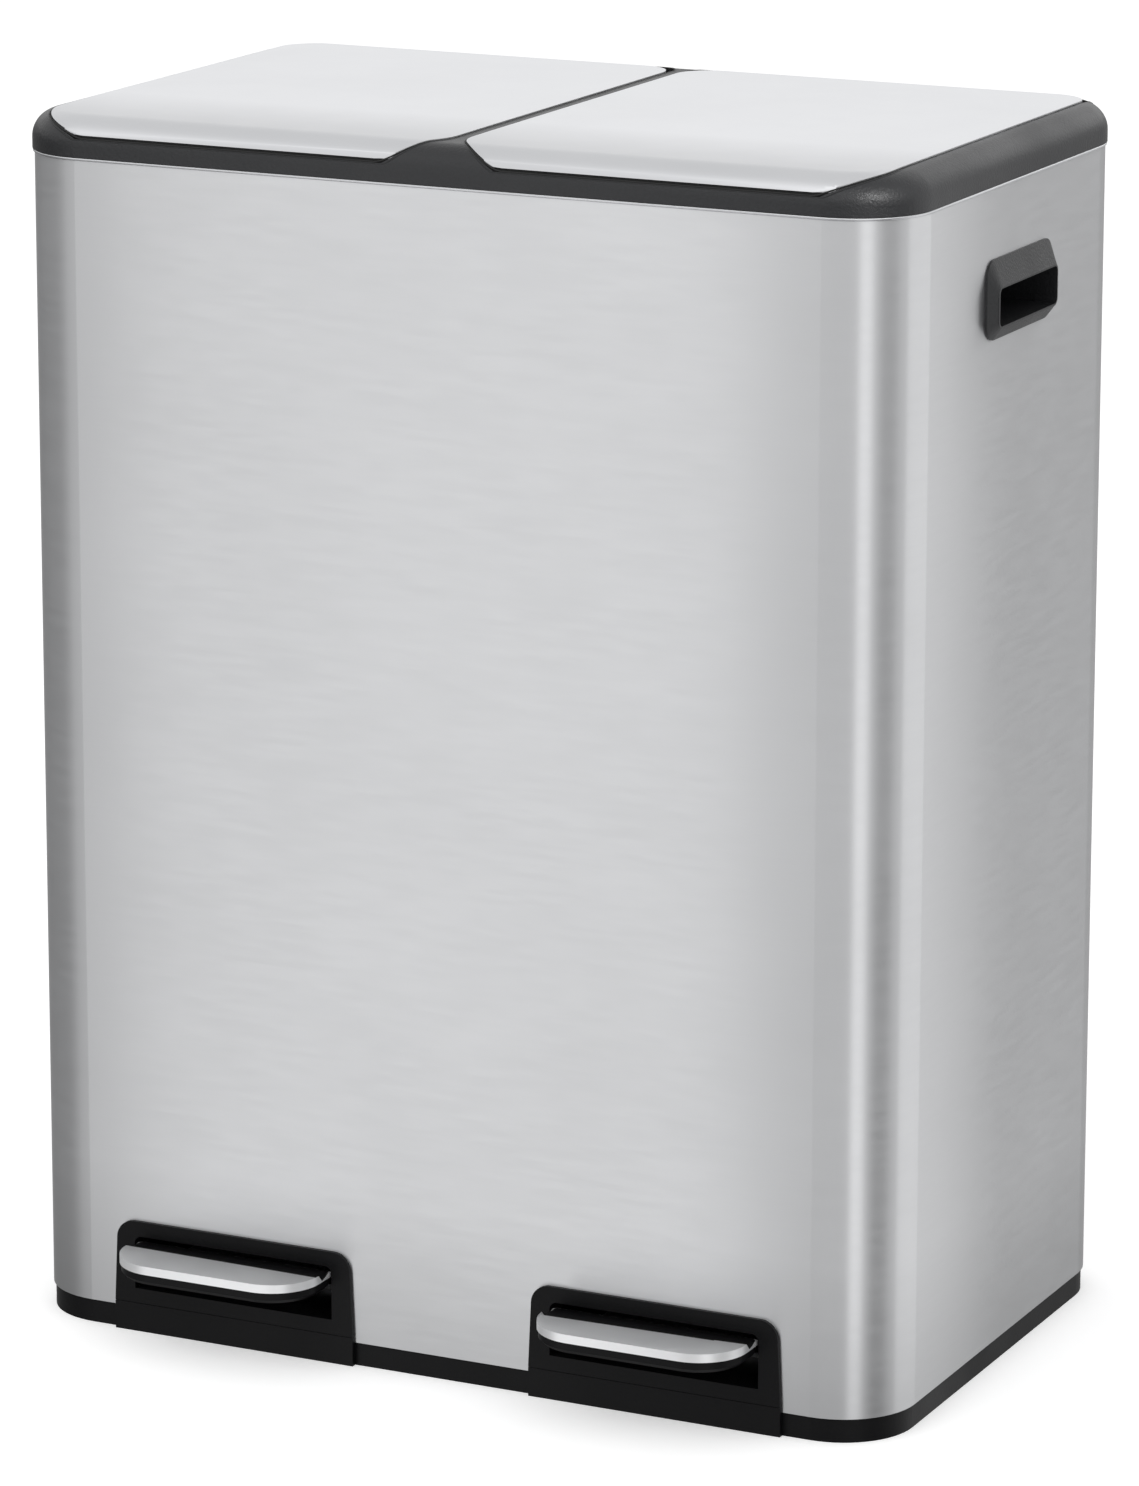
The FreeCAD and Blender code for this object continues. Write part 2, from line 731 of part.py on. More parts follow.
# ---- Pedals ----
def pedal_block(inset, z0, z1, edge_round):
    """Block with the pedal's plan outline, a rounded top edge and a sloping back strip."""
    block = rounded_prism(pedal_centre - pedal_half_width + inset, pedal_centre + pedal_half_width - inset,
                          pedal_front + inset, pedal_back - inset,
                          pedal_front_corner - inset, pedal_back_corner, z0, z1)
    reach, rear = pedal_half_width + overshoot, pedal_back + overshoot
    wedge = plate_x([(crease_y, z1), (rear, z1), (rear, z1 - crease_drop)],
                    pedal_centre - reach, pedal_centre + reach)
    front_edges = [edge for edge in edges_at(block, z1) if edge.BoundBox.YMin < crease_y]
    return block.makeFillet(edge_round, front_edges).cut(wedge)


def make_pedal_cap():
    """Pressed steel cap."""
    outer = pedal_block(0, pedal_split, pedal_top, pedal_edge_round)
    inner = pedal_block(sheet_gauge, pedal_split - overshoot, pedal_top - sheet_gauge,
                        pedal_edge_round - sheet_gauge)
    return outer.cut(inner)


def make_pedal_pad():
    """Plastic pad: a plate that shows below the cap and a core that fills it."""
    half = pedal_half_width - cap_inset
    plate = rounded_prism(pedal_centre - half, pedal_centre + half,
                          pedal_front + cap_inset, pedal_back - cap_inset,
                          pedal_front_corner - cap_inset, pedal_back_corner, pedal_bottom, pedal_split)
    plate = plate.makeChamfer(pad_chamfer, edges_at(plate, pedal_bottom))
    skin = sheet_gauge + lid_frame_gap
    core = pedal_block(skin, pedal_split, pedal_top - skin, pedal_edge_round - skin)
    return join(plate, core)


def make_lever():
    """Bent steel lever: a plate under the pad, two pivot ears and a tail with its pin."""
    plate = rounded_prism(pedal_centre - lever_half_width, pedal_centre + lever_half_width, lever_front,
                          lever_back, lever_corner, lever_gauge, pedal_bottom - lever_gauge, pedal_bottom)
    pieces = []
    for x0 in (pedal_centre - lever_half_width, pedal_centre + lever_half_width - lever_gauge):
        ear = box(x0, x0 + lever_gauge, pivot_y - pivot_ear_radius, pivot_y + pivot_ear_radius,
                  pivot_z, pedal_bottom - lever_gauge / 2)
        pieces += [ear, rod_x(x0, x0 + lever_gauge, pivot_y, pivot_z, pivot_ear_radius)]
    x0, x1 = pedal_centre + arm_near, pedal_centre + arm_far
    middle = pedal_bottom - lever_gauge / 2
    points = [
        (pivot_y - pivot_ear_radius, middle), (lever_back, middle),
        (rod_y, tail_pin_z + tail_half_height), (rod_y, tail_pin_z - tail_half_height),
        (pivot_y, pivot_z - tail_half_height), (pivot_y - pivot_ear_radius, pivot_z),
    ]
    tail_end = rod_x(x0, x1, rod_y, tail_pin_z, tail_half_height)
    lever = join(plate, plate_x(points, x0, x1), tail_end, arm_pin(rod_y, tail_pin_z), *pieces)
    reach = lever_half_width + overshoot
    return lever.cut(rod_x(pedal_centre - reach, pedal_centre + reach, pivot_y, pivot_z,
                           axle_radius + running_clearance))


def make_axle():
    """Round axle that the lever turns on."""
    reach = lever_half_width + axle_ear_gauge + axle_overhang
    return rod_x(pedal_centre - reach, pedal_centre + reach, pivot_y, pivot_z, axle_radius)


def make_axle_bracket():
    """Bracket on the tray with an ear outside each side of the lever."""
    near = lever_half_width + ear_gap
    far = near + axle_ear_gauge
    base = box(pedal_centre - far - bracket_half_depth, pedal_centre + far + bracket_half_depth,
               pivot_y - bracket_half_depth, pivot_y + bracket_half_depth,
               tray_plate_top, tray_plate_top + bracket_base_gauge)
    pieces = []
    for x0 in (pedal_centre - far, pedal_centre + near):
        ear = box(x0, x0 + axle_ear_gauge, pivot_y - pivot_ear_radius, pivot_y + pivot_ear_radius,
                  tray_plate_top, pivot_z)
        pieces += [ear, rod_x(x0, x0 + axle_ear_gauge, pivot_y, pivot_z, pivot_ear_radius)]
    return join(base, *pieces).cut(make_axle())


def make_axle_clips():
    """Retaining clips on the ends of the axle."""
    start = lever_half_width + ear_gap + axle_ear_gauge + clip_gap
    clips = [rod_x(pedal_centre + start, pedal_centre + start + clip_gauge, pivot_y, pivot_z, clip_radius),
             rod_x(pedal_centre - start - clip_gauge, pedal_centre - start, pivot_y, pivot_z, clip_radius)]
    return Part.makeCompound([clip.cut(make_axle()) for clip in clips])


def make_bracket_screws():
    """Screw heads on the feet of the axle bracket."""
    reach = lever_half_width + ear_gap + axle_ear_gauge + bracket_half_depth / 2
    foot = tray_plate_top + bracket_base_gauge
    return Part.makeCompound([rod_z(pedal_centre + side * reach, pivot_y, foot, foot + bracket_screw_head,
                                    bracket_screw_radius) for side in (-1, 1)])


def make_pedal_rivets():
    """Rivet heads that hold the pad on the lever."""
    y = (pedal_front + pedal_back) / 2
    top = pedal_bottom - lever_gauge
    return Part.makeCompound([rod_z(pedal_centre + side * lever_half_width / 2, y, top - rivet_height, top,
                                    rivet_radius) for side in (-1, 1)])


# ---- Pedal surrounds ----
def make_surround():
    """Frame round the pedal with a sleeve that passes through the casing."""
    face = window_block(pedal_centre, surround_half_width, surround_half_width - surround_taper,
                        surround_bottom, surround_top, surround_corner,
                        front_face - surround_proud, front_face)
    half = window_half_width + sleeve_wall
    sleeve = window_block(pedal_centre, half, half, surround_bottom, window_top + sleeve_wall,
                          window_corner, front_face, front_face + sleeve_depth)
    opening = window_block(pedal_centre, window_half_width, window_half_width, window_bottom, window_top,
                           window_corner, front_face - surround_proud - overshoot,
                           front_face + sleeve_depth + overshoot)
    return join(face, sleeve).cut(opening)


# ---- Side handles ----
def make_handle():
    """Raised frame that slopes up to the grip opening, and the pocket behind it."""
    y0, y1 = handle_centre_y - handle_width / 2, handle_centre_y + handle_width / 2
    z0, z1 = handle_centre_z - handle_height / 2, handle_centre_z + handle_height / 2
    g0, g1 = handle_centre_y - grip_width / 2, handle_centre_y + grip_width / 2
    step = Part.Face(rounded_wire_x(y0, y1, z0, z1, handle_corner, half_width))
    step = step.extrude(Vector(handle_step, 0, 0))
    foot = rounded_wire_x(y0, y1, z0, z1, handle_corner, half_width + handle_step)
    ridge = rounded_wire_x(g0 - grip_ridge, g1 + grip_ridge, grip_bottom - grip_ridge, grip_top + grip_ridge,
                           grip_corner + grip_ridge, half_width + handle_rise)
    slope = Part.makeLoft([foot, ridge], True, True)
    pocket = box(half_width - pocket_depth - pocket_wall, half_width, g0 - pocket_wall, g1 + pocket_wall,
                 grip_bottom - pocket_wall, grip_top + pocket_headroom + pocket_wall)
    inside = half_width - pocket_step - overshoot
    grip = Part.Face(rounded_wire_x(g0, g1, grip_bottom, grip_top, grip_corner, inside))
    grip = grip.extrude(Vector(half_width + handle_rise + overshoot - inside, 0, 0))
    room = box(half_width - pocket_depth, half_width - pocket_step, g0, g1,
               grip_bottom, grip_top + pocket_headroom)
    return join(step, slope, pocket).cut(grip).cut(room)


def make_handle_screws():
    """Screw heads on the back wall of one handle pocket."""
    start = half_width - pocket_depth
    z = (grip_bottom + grip_top) / 2
    return Part.makeCompound([rod_x(start, start + handle_screw_head,
                                    handle_centre_y + side * handle_screw_offset, z, handle_screw_radius)
                              for side in (-1, 1)])


# ---- Buckets ----
def bucket_wire(inset, z):
    """Plan outline of the right bucket's body, drawn in by an inset."""
    x, y = bucket_width / 2 - inset, bucket_depth / 2 - inset
    radius = bucket_radius - inset
    return rounded_wire(bucket_centre_x - x, bucket_centre_x + x, bucket_centre_y - y, bucket_centre_y + y,
                        radius, radius, z)


def bucket_outline(inset, z0, z1):
    """Upright block with the bucket's plan outline."""
    return Part.Face(bucket_wire(inset, z0)).extrude(Vector(0, 0, z1 - z0))


def bail_stud(side):
    """Stud inside the bucket's wall that carries one end of the bail."""
    wall = bucket_width / 2 - bucket_wall
    shaft = bail_ear_gap + bail_gauge + bail_ear_gap
    start, end = wall + bucket_wall / 2, wall - shaft
    studs = []
    head_end = end - bail_stud_head
    for far, near, radius in ((start, end, bail_stud_radius), (end, head_end, bail_stud_head_radius)):
        low, high = sorted((bucket_centre_x + side * near, bucket_centre_x + side * far))
        studs.append(rod_x(low, high, bucket_centre_y, bail_pivot_z, radius))
    return join(*studs)


def make_bucket():
    """Tapered inner bucket with a rolled lip and two bail studs."""
    bottom = floor_top + seat_gap
    body = Part.makeLoft([bucket_wire(bucket_taper, bottom), bucket_wire(0, bucket_top)], True, True)
    room = Part.makeLoft([bucket_wire(bucket_taper + bucket_wall, bottom + bucket_bottom_gauge),
                          bucket_wire(bucket_wall, bucket_top + overshoot)], True, True)
    lip = bucket_outline(-lip_overhang, bucket_top - lip_gauge, bucket_top)
    drop = bucket_outline(-lip_overhang, bucket_top - lip_gauge - lip_drop, bucket_top - lip_gauge)
    drop = drop.cut(bucket_outline(lip_wall - lip_overhang, bucket_top - lip_gauge - lip_drop - overshoot,
                                   bucket_top))
    return join(join(body, lip, drop).cut(room), bail_stud(-1), bail_stud(1))


def make_bail():
    """Flat bail that lies on the front half of the lip and pivots on the studs."""
    rest = bucket_top + bail_rest_gap
    band = bucket_outline(-lip_overhang, rest, rest + bail_gauge)
    band = band.cut(bucket_outline(bail_band - lip_overhang, rest - overshoot, rest + bail_gauge + overshoot))
    back = box(0, half_width, bucket_centre_y, back_face, rest - overshoot, rest + bail_gauge + overshoot)
    pieces = [band.cut(back)]
    for side in (-1, 1):
        outer = bucket_width / 2 - bucket_wall - bail_ear_gap
        low, high = sorted((bucket_centre_x + side * (outer - bail_gauge), bucket_centre_x + side * outer))
        ear = rod_x(low, high, bucket_centre_y, bail_pivot_z, bail_ear_radius)
        strap = box(low, high, bucket_centre_y - bail_ear_radius, bucket_centre_y,
                    bail_pivot_z, rest + bail_gauge)
        arm_low, arm_high = sorted((bucket_centre_x + side * (outer - bail_gauge),
                                    bucket_centre_x + side * (bucket_width / 2 + lip_overhang)))
        shoulder = box(arm_low, arm_high, bucket_centre_y - bail_ear_radius, bucket_centre_y,
                       rest, rest + bail_gauge)
        pieces += [ear, strap, shoulder]
    bail = join(*pieces)
    hole = rod_x(bucket_centre_x - bucket_width, bucket_centre_x + bucket_width,
                 bucket_centre_y, bail_pivot_z, bail_stud_radius + running_clearance)
    return bail.cut(hole)


# ---- Export ----
single_pieces = {
    "steel_casing": make_casing,
    "base_band": make_base_band,
    "tray_plate": make_tray_plate,
    "rubber_feet": make_feet,
    "inner_floor": make_inner_floor,
    "floor_skirt": make_floor_skirt,
    "top_rim": make_rim,
    "rim_collar": make_rim_collar,
    "guide_rivets": make_guide_rivets,
}

paired_pieces = {
    "lid_cover": make_lid_cover,
    "lid_frame": make_lid_frame,
    "lid_bumpers": make_lid_bumpers,
    "hinge_brackets": make_hinge_brackets,
    "hinge_pins": make_hinge_pins,
    "hinge_screws": make_hinge_screws,
    "lid_crank": make_crank,
    "lift_rod": make_lift_rod,
    "damper_link": make_damper_link,
    "damper_piston": make_piston,
    "damper_cylinder": make_damper_cylinder,
    "rod_guides": make_guides,
    "pedal_cap": make_pedal_cap,
    "pedal_pad": make_pedal_pad,
    "pedal_lever": make_lever,
    "pedal_rivets": make_pedal_rivets,
    "pedal_axle": make_axle,
    "axle_bracket": make_axle_bracket,
    "axle_clips": make_axle_clips,
    "bracket_screws": make_bracket_screws,
    "pedal_surround": make_surround,
    "side_handle": make_handle,
    "handle_screws": make_handle_screws,
    "bucket": make_bucket,
    "bucket_bail": make_bail,
}

os.makedirs("parts", exist_ok=True)
for name, make in single_pieces.items():
    make().exportStep("parts/" + name + ".step")
for name, make in paired_pieces.items():
    piece = make()
    piece.exportStep("parts/" + name + "_right.step")
    mirrored(piece).exportStep("parts/" + name + "_left.step")
print("pedal travel", round(pedal_angle, 4), "deg; rod rise", round(rod_rise, 4), "mm")
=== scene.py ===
import json
import math

import bmesh
import bpy
from bpy.props import FloatProperty, FloatVectorProperty, PointerProperty
from mathutils import Matrix, Vector


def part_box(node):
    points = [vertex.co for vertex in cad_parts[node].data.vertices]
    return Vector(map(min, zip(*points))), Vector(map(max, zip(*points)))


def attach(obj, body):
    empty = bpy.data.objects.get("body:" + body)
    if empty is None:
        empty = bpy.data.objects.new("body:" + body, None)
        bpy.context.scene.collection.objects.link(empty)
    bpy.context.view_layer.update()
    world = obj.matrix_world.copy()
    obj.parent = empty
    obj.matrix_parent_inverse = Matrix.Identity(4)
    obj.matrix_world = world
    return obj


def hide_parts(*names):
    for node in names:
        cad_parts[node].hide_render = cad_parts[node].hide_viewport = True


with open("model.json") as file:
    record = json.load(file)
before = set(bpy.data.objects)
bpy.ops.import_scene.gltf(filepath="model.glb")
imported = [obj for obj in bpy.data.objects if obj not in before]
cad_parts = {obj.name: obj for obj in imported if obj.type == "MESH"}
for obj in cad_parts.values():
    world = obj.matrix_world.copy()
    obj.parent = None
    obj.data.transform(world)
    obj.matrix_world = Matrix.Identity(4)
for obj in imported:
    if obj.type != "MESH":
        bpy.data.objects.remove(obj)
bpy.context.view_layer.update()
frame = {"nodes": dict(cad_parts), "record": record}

bl_info = {
    "name": "Double Recycling Bin",
    "version": (1, 0, 0),
    "blender": (4, 5, 0),
    "location": "View3D > Sidebar > Recycling Bin",
    "description": "Dresses the packed frame of a double pedal bin and sets up its studio",
    "category": "Object",
}

MM = 0.001
SIDES = (("right", 1), ("left", -1))
RIM_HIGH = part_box("top_rim")[1]
CASING_LOW, CASING_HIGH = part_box("steel_casing")
LID_LOW, LID_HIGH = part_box("lid_cover_right")
CAP_LOW, CAP_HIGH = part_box("pedal_cap_right")
SURROUND_LOW, SURROUND_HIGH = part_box("pedal_surround_right")
HANDLE_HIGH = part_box("side_handle_right")[1]

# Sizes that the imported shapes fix
CASING_CORNER = 40.0 * MM  # radius of the casing's upright corners
PAST_SHOULDER = 1.5 * MM  # the lids' close cuts run on this far behind the shoulder
CREASE_REACH = 0.6 * MM  # half the width of the lids' crease
FRONT_LINE_INSET = 0.42 * MM  # a pocket's line stays this far behind the rim's front
SHADOW_STRIP_CLEAR = 1.2  # share of a lid corner's radius that the black strip of painted shade leaves free, both ends together
GRIP_REACH = (-37.05 * MM, 41.05 * MM)  # the ridge round a handle's opening, front to back
GRIP_HEIGHTS = (547.2 * MM, 567.8 * MM)  # that ridge, bottom to top
GRIP_CORNER = 3.8 * MM  # radius of its corners

# What the metal mirrors: each band's heading, half width and softness in degrees, and its brightness
STEEL_BANDS = (
    (175.0, 42.0, 18.0, 0.22),
    (-48.0, 8.0, 6.0, 1.12),
    (-14.0, 11.0, 8.0, 0.16),
    (38.0, 18.0, 7.0, 1.02),
    (88.0, 21.0, 6.0, 0.40),
)
BETWEEN_BANDS = 0.50
# Brightness of the sky near the horizon, overhead, before the bin and to its right
LOW_SKY, HIGH_SKY, FRONT_SKY, SIDE_SKY = 1.03, 0.93, 1.50, 1.45

# Cards beside the bin: both ends on the floor plan, and brightness
CARDS = (
    ("front_card", (-0.364, -0.46), (0.033, -0.46), 1.06),
    ("side_card", (0.345, -0.10), (0.345, 0.17), 0.98),
)
CARD_BOTTOM, CARD_TOP = -0.3, 0.9
FLOOR_REACH = 14.0  # half the width of the floor's plane, in metres
FLOOR_GLOW = 0.36  # what the floor adds for the camera alone, so that it meets the white behind it


def length(name, value, description, low=0.0):
    """A size in metres."""
    return FloatProperty(name=name, description=description, default=value, min=low,
                         subtype="DISTANCE", unit="LENGTH", precision=5)


def colour(name, value, description):
    """A surface colour, linear."""
    return FloatVectorProperty(name=name, description=description, default=value, size=3,
                               min=0.0, max=1.0, subtype="COLOR")


def share(name, value, description, high=1.0):
    """A plain number from 0 upwards."""
    return FloatProperty(name=name, description=description, default=value, min=0.0, max=high,
                         subtype="FACTOR" if high == 1.0 else "NONE")


def angle(name, degrees, description):
    """An angle, kept in radians."""
    return FloatProperty(name=name, description=description, default=math.radians(degrees),
                         subtype="ANGLE")


# ---- Sizes and colours that a user would change ----
class FinishSettings(bpy.types.PropertyGroup):
    """Colours and grain of the bin's finishes."""
    steel: colour("Body steel", (0.655, 0.660, 0.672), "Brushed sheet of the body")
    # Lighter than the body steel: partly the lids' own satin finish, partly painted light for the tops, which
    # catch more light.
    lid_steel: colour("Lid steel", (0.795, 0.803, 0.823), "Satin sheet of the lids")
    pedal_steel: colour("Pedal steel", (0.840, 0.846, 0.856), "Satin sheet of the pedal caps")
    rim: colour("Rim plastic", (0.0125, 0.0130, 0.0145), "Moulded rim and handles")
    base: colour("Base plastic", (0.0045, 0.0045, 0.0050), "Base band and pedal surrounds")
    bucket: colour("Bucket plastic", (0.045, 0.047, 0.050), "Inner buckets and bails")
    inner: colour("Inner plastic", (0.060, 0.062, 0.066), "Lid frames, inner floor and rod guides")
    zinc: colour("Zinc plate", (0.560, 0.565, 0.580), "Levers, rods and screws")
    rubber: colour("Rubber", (0.012, 0.012, 0.012), "Feet and bumpers")
    steel_roughness: share("Steel roughness", 0.36, "Roughness of the brushed sheet")
    steel_brush: share("Steel brush", 0.92, "How far the brushing spreads a reflection upwards")
    grain: length("Grain width", 0.35 * MM, "Width of one brushed line")
    speckle: length("Speckle size", 1.5 * MM, "Size of the moulded plastic's texture")


class LidSettings(bpy.types.PropertyGroup):
    """Sizes of the two lids."""
    shoulder: length("Shoulder", 14.9 * MM, "Radius of the curve over the front edge")
    proud: length("Proud", 1.1 * MM, "How far the curve would reach past the casing")
    front_corner: length("Front corner", 31.0 * MM, "Radius of a lid's two front corners")
    back_corner: length("Back corner", 19.0 * MM, "Radius of a lid's two back corners")
    roll: length("Rolled edge", 0.6 * MM, "Radius of the rolled edge")
    crease: length("Crease", 2.1 * MM, "Distance from the edge to the crease inside the roll")
    crease_depth: length("Crease depth", 0.30 * MM, "Depth of that crease")
    crown: length("Crown", 0.25 * MM, "How far the top has sunk where the shoulder starts")
    crown_reach: length("Crown reach", 80.0 * MM, "Distance from the front edge to the flat top")
    back_wall: length("Back wall", 1.8 * MM, "Height of the turned-down edge at the hinges")
    gauge: length("Sheet", 0.6 * MM, "Thickness of the sheet")


class TrimSettings(bpy.types.PropertyGroup):
    """Sizes of the small edges that catch the light."""
    hem: length("Casing hem", 0.9 * MM, "Radius of the rolled hem under the rim")
    rim_shoulder: length("Rim shoulder", 14.0 * MM, "Radius of the rim's shoulder")
    pocket_bead: length("Pocket edge", 0.40 * MM, "Radius of the edge round each lid's pocket")
    pocket_bead_sunk: length("Pocket edge depth", 0.15 * MM, "How far that edge lies below the rim's top")
    pocket_gap: length("Pocket gap", 1.0 * MM, "Space between a lid and its pocket")
    pocket_back_gap: length("Pocket back gap", 3.9 * MM, "Space between a lid's back edge and its pocket")
    pocket_back_corner: length("Pocket back corner", 11.0 * MM, "Radius of a pocket's two back corners")
    pocket_drop: length("Pocket depth", 10.6 * MM, "Depth of a pocket below the rim's top")
    # The next five sizes set black rubber put where the gaps round each lid lie in shadow: painted shade.
    shadow_bead: length("Shadow bead", 0.4 * MM, "Radius of the black seal in the pocket's gap")
    shadow_bead_sunk: length("Seal depth", 0.1 * MM, "How far the seal's middle lies below the rim's top")
    shadow_strip: length("Shadow strip", 1.2 * MM, "Depth of the black strip under a lid's front edge")
    shadow_strip_height: length("Gasket height", 1.9 * MM, "Height of that strip")
    shadow_strip_inset: length("Gasket inset", 0.8 * MM, "How far that strip lies behind the lid's front edge")
    surround_bead: length("Surround edge", 0.8 * MM, "Radius of a pedal surround's outer edge")
    surround_foot_corner: length("Surround foot corner", 1.0 * MM, "Radius of a surround's two lower corners")
    surround_top_corner: length("Surround top corner", 10.0 * MM, "Radius of a surround's two upper corners")
    surround_narrow: length("Surround narrowing", 2.0 * MM, "How far each side leans in towards the top")
    handle_bead: length("Handle edge", 0.55 * MM, "Radius of the ridge round a handle's opening")
    seam_width: length("Seam width", 7.0 * MM, "Width of the folded seam on the back")
    seam_height: length("Seam height", 0.7 * MM, "How far the folded seam stands out")
    seam_short: length("Seam end", 2.0 * MM, "Length left free at each end of the seam")


class PedalSettings(bpy.types.PropertyGroup):
    """Sizes of the pedal caps."""
    front_corner: length("Front corner", 26.0 * MM, "Radius of a cap's two front corners")
    back_corner: length("Back corner", 3.0 * MM, "Radius of a cap's two back corners")
    roll: length("Rolled edge", 3.6 * MM, "Radius of the cap's outer edge")
    border: length("Border", 7.0 * MM, "Width of the bright border round the raised field")
    groove: length("Groove", 0.90 * MM, "Depth of the groove inside the border")
    groove_reach: length("Groove reach", 1.2 * MM, "Half the width of that groove")
    dome: length("Dome", 0.5 * MM, "How far the field rises towards its middle")
    dome_reach: length("Dome reach", 10.0 * MM, "Distance over which it rises")
    crease: length("Crease", 11.0 * MM, "Distance from the back edge to the crease")
    strip_drop: length("Strip drop", 0.7 * MM, "How far the strip behind the crease lies below the field")
    fall: length("Back fall", 2.0 * MM, "How far that strip falls towards the back edge")
    edge_height: length("Edge height", 0.4 * MM, "Least height of the pressed edge")
    gauge: length("Sheet", 0.5 * MM, "Thickness of the sheet")


class StageSettings(bpy.types.PropertyGroup):
    """The studio round the bin."""
    floor: colour("Floor", (0.90, 0.90, 0.90), "Plain pale floor")
    world: share("World", 0.80, "Strength of the studio's even light", 4.0)
    sparkle: FloatProperty(name="Sparkle", description="Power of the small lamp for the rim's corner",
                           default=14.0, min=0.0, subtype="POWER", unit="POWER")
    key: FloatProperty(name="Key light", description="Power of the large soft lamp", default=26.0,
                       min=0.0, subtype="POWER", unit="POWER")
    fill: FloatProperty(name="Fill light", description="Power of the second soft lamp", default=9.0,
                        min=0.0, subtype="POWER", unit="POWER")
    lens: FloatProperty(name="Lens", description="Focal length", default=156.913, min=1.0,
                        subtype="DISTANCE_CAMERA", unit="CAMERA")
    azimuth: angle("Azimuth", 25.598, "Camera's turn round the bin")
    elevation: angle("Elevation", 12.898, "Camera's height above the horizon")
    roll: angle("Roll", 0.078, "Camera's roll")
    shift: FloatProperty(name="Shift", description="Camera's vertical shift", default=-0.0962)
    place: FloatVectorProperty(name="Camera place", description="Where the camera stands", size=3,
                               default=(1.4153, -2.9565, 1.1284), subtype="TRANSLATION", unit="LENGTH")


class BinSettings(bpy.types.PropertyGroup):
    """All settings of the double recycling bin."""
    finish: PointerProperty(type=FinishSettings)
    lid: PointerProperty(type=LidSettings)
    trim: PointerProperty(type=TrimSettings)
    pedal: PointerProperty(type=PedalSettings)
    stage: PointerProperty(type=StageSettings)


# ---- Materials ----
def material_with_shader(name):
    """A new node material with its shader, and its node tree."""
    material = bpy.data.materials.new(name)
    material.use_nodes = True
    return material, material.node_tree, material.node_tree.nodes["Principled BSDF"]


def add_node(tree, kind, **values):
    """One node with its settings and its unlinked inputs."""
    node = tree.nodes.new(kind)
    for key, value in values.items():
        if key in node.bl_rna.properties:
            setattr(node, key, value)
        else:
            node.inputs[key.replace("_", " ")].default_value = value
    return node


def object_place(tree, scale):
    """Object coordinates, stretched."""
    place = add_node(tree, "ShaderNodeTexCoord")
    mapping = add_node(tree, "ShaderNodeMapping", Scale=scale)
    tree.links.new(place.outputs["Object"], mapping.inputs["Vector"])
    return mapping.outputs["Vector"]


def noise(tree, scale, detail=3.0, stretch=(1.0, 1.0, 1.0)):
    """Noise on Object coordinates."""
    node = add_node(tree, "ShaderNodeTexNoise", Scale=scale, Detail=detail, Roughness=0.6)
    tree.links.new(object_place(tree, stretch), node.inputs["Vector"])
    return node.outputs["Fac"]


def ramped(tree, source, low, high, start=0.35, end=0.65):
    """A grey value that runs from low to high as the source runs from start to end."""
    node = add_node(tree, "ShaderNodeMapRange")
    for key, value in (("From Min", start), ("From Max", end), ("To Min", low), ("To Max", high)):
        node.inputs[key].default_value = value
    tree.links.new(source, node.inputs["Value"])
    return node.outputs["Result"]


def tinted(tree, base, source, spread):
    """The base colour, a little darker and lighter as the source says."""
    node = add_node(tree, "ShaderNodeMix", data_type="RGBA")
    node.inputs["A"].default_value = (*[channel * (1.0 - spread) for channel in base], 1.0)
    node.inputs["B"].default_value = (*[min(1.0, channel * (1.0 + spread)) for channel in base], 1.0)
    tree.links.new(source, node.inputs["Factor"])
    return [output for output in node.outputs if output.type == "RGBA"][0]


def bumped(tree, shader, source, distance, strength):
    """Bump from a source into the shader."""
    node = add_node(tree, "ShaderNodeBump", Strength=strength, Distance=distance)
    tree.links.new(source, node.inputs["Height"])
    tree.links.new(node.outputs["Normal"], shader.inputs["Normal"])


def shaded_towards(tree, source, axis, low, high, darkest):
    """The colour, darkened a little towards the low end of a stretch along one axis: painted shade."""
    place = add_node(tree, "ShaderNodeTexCoord")
    parts = add_node(tree, "ShaderNodeSeparateXYZ")
    tree.links.new(place.outputs["Object"], parts.inputs[0])
    tone = ramped(tree, parts.outputs[axis], darkest, 1.0, low, high)
    node = add_node(tree, "ShaderNodeMix", data_type="RGBA", blend_type="MULTIPLY", Factor=1.0)
    tree.links.new(source, node.inputs["A"])
    tree.links.new(tone, node.inputs["B"])
    return [output for output in node.outputs if output.type == "RGBA"][0]


def brushed_steel(name, base, settings, roughness, brush, stretch, shade=None, metal=1.0):
    """Brushed or satin steel: fine lines, a slow change of tone, faint rub marks and, where a shade is given,
    painted shade towards one end.
    """
    material, tree, shader = material_with_shader(name)
    shader.inputs["Metallic"].default_value = metal
    shader.inputs["Anisotropic"].default_value = brush
    shader.inputs["Anisotropic Rotation"].default_value = 0.25
    tangent = add_node(tree, "ShaderNodeTangent", direction_type="RADIAL", axis="Z")
    tree.links.new(tangent.outputs["Tangent"], shader.inputs["Tangent"])
    lines = noise(tree, 1.0 / settings.grain, 2.0, stretch)
    cloud = noise(tree, 9.0, 2.0)
    marks = noise(tree, 300.0, 4.0, (0.12, 0.12, 1.0))
    mixed = add_node(tree, "ShaderNodeMath", operation="MULTIPLY_ADD")
    mixed.inputs[1].default_value = 0.35
    tree.links.new(lines, mixed.inputs[0])
    tree.links.new(cloud, mixed.inputs[2])
    tone = tinted(tree, base, ramped(tree, mixed.outputs["Value"], 0.0, 1.0, 0.4, 0.95), 0.022)
    # Painted shade: the colour darkens towards one end of the piece.
    if shade:
        tone = shaded_towards(tree, tone, *shade)
    tree.links.new(tone, shader.inputs["Base Color"])
    tree.links.new(ramped(tree, marks, roughness - 0.02, roughness + 0.025), shader.inputs["Roughness"])
    bumped(tree, shader, lines, 0.02 * MM, 0.12)
    return material


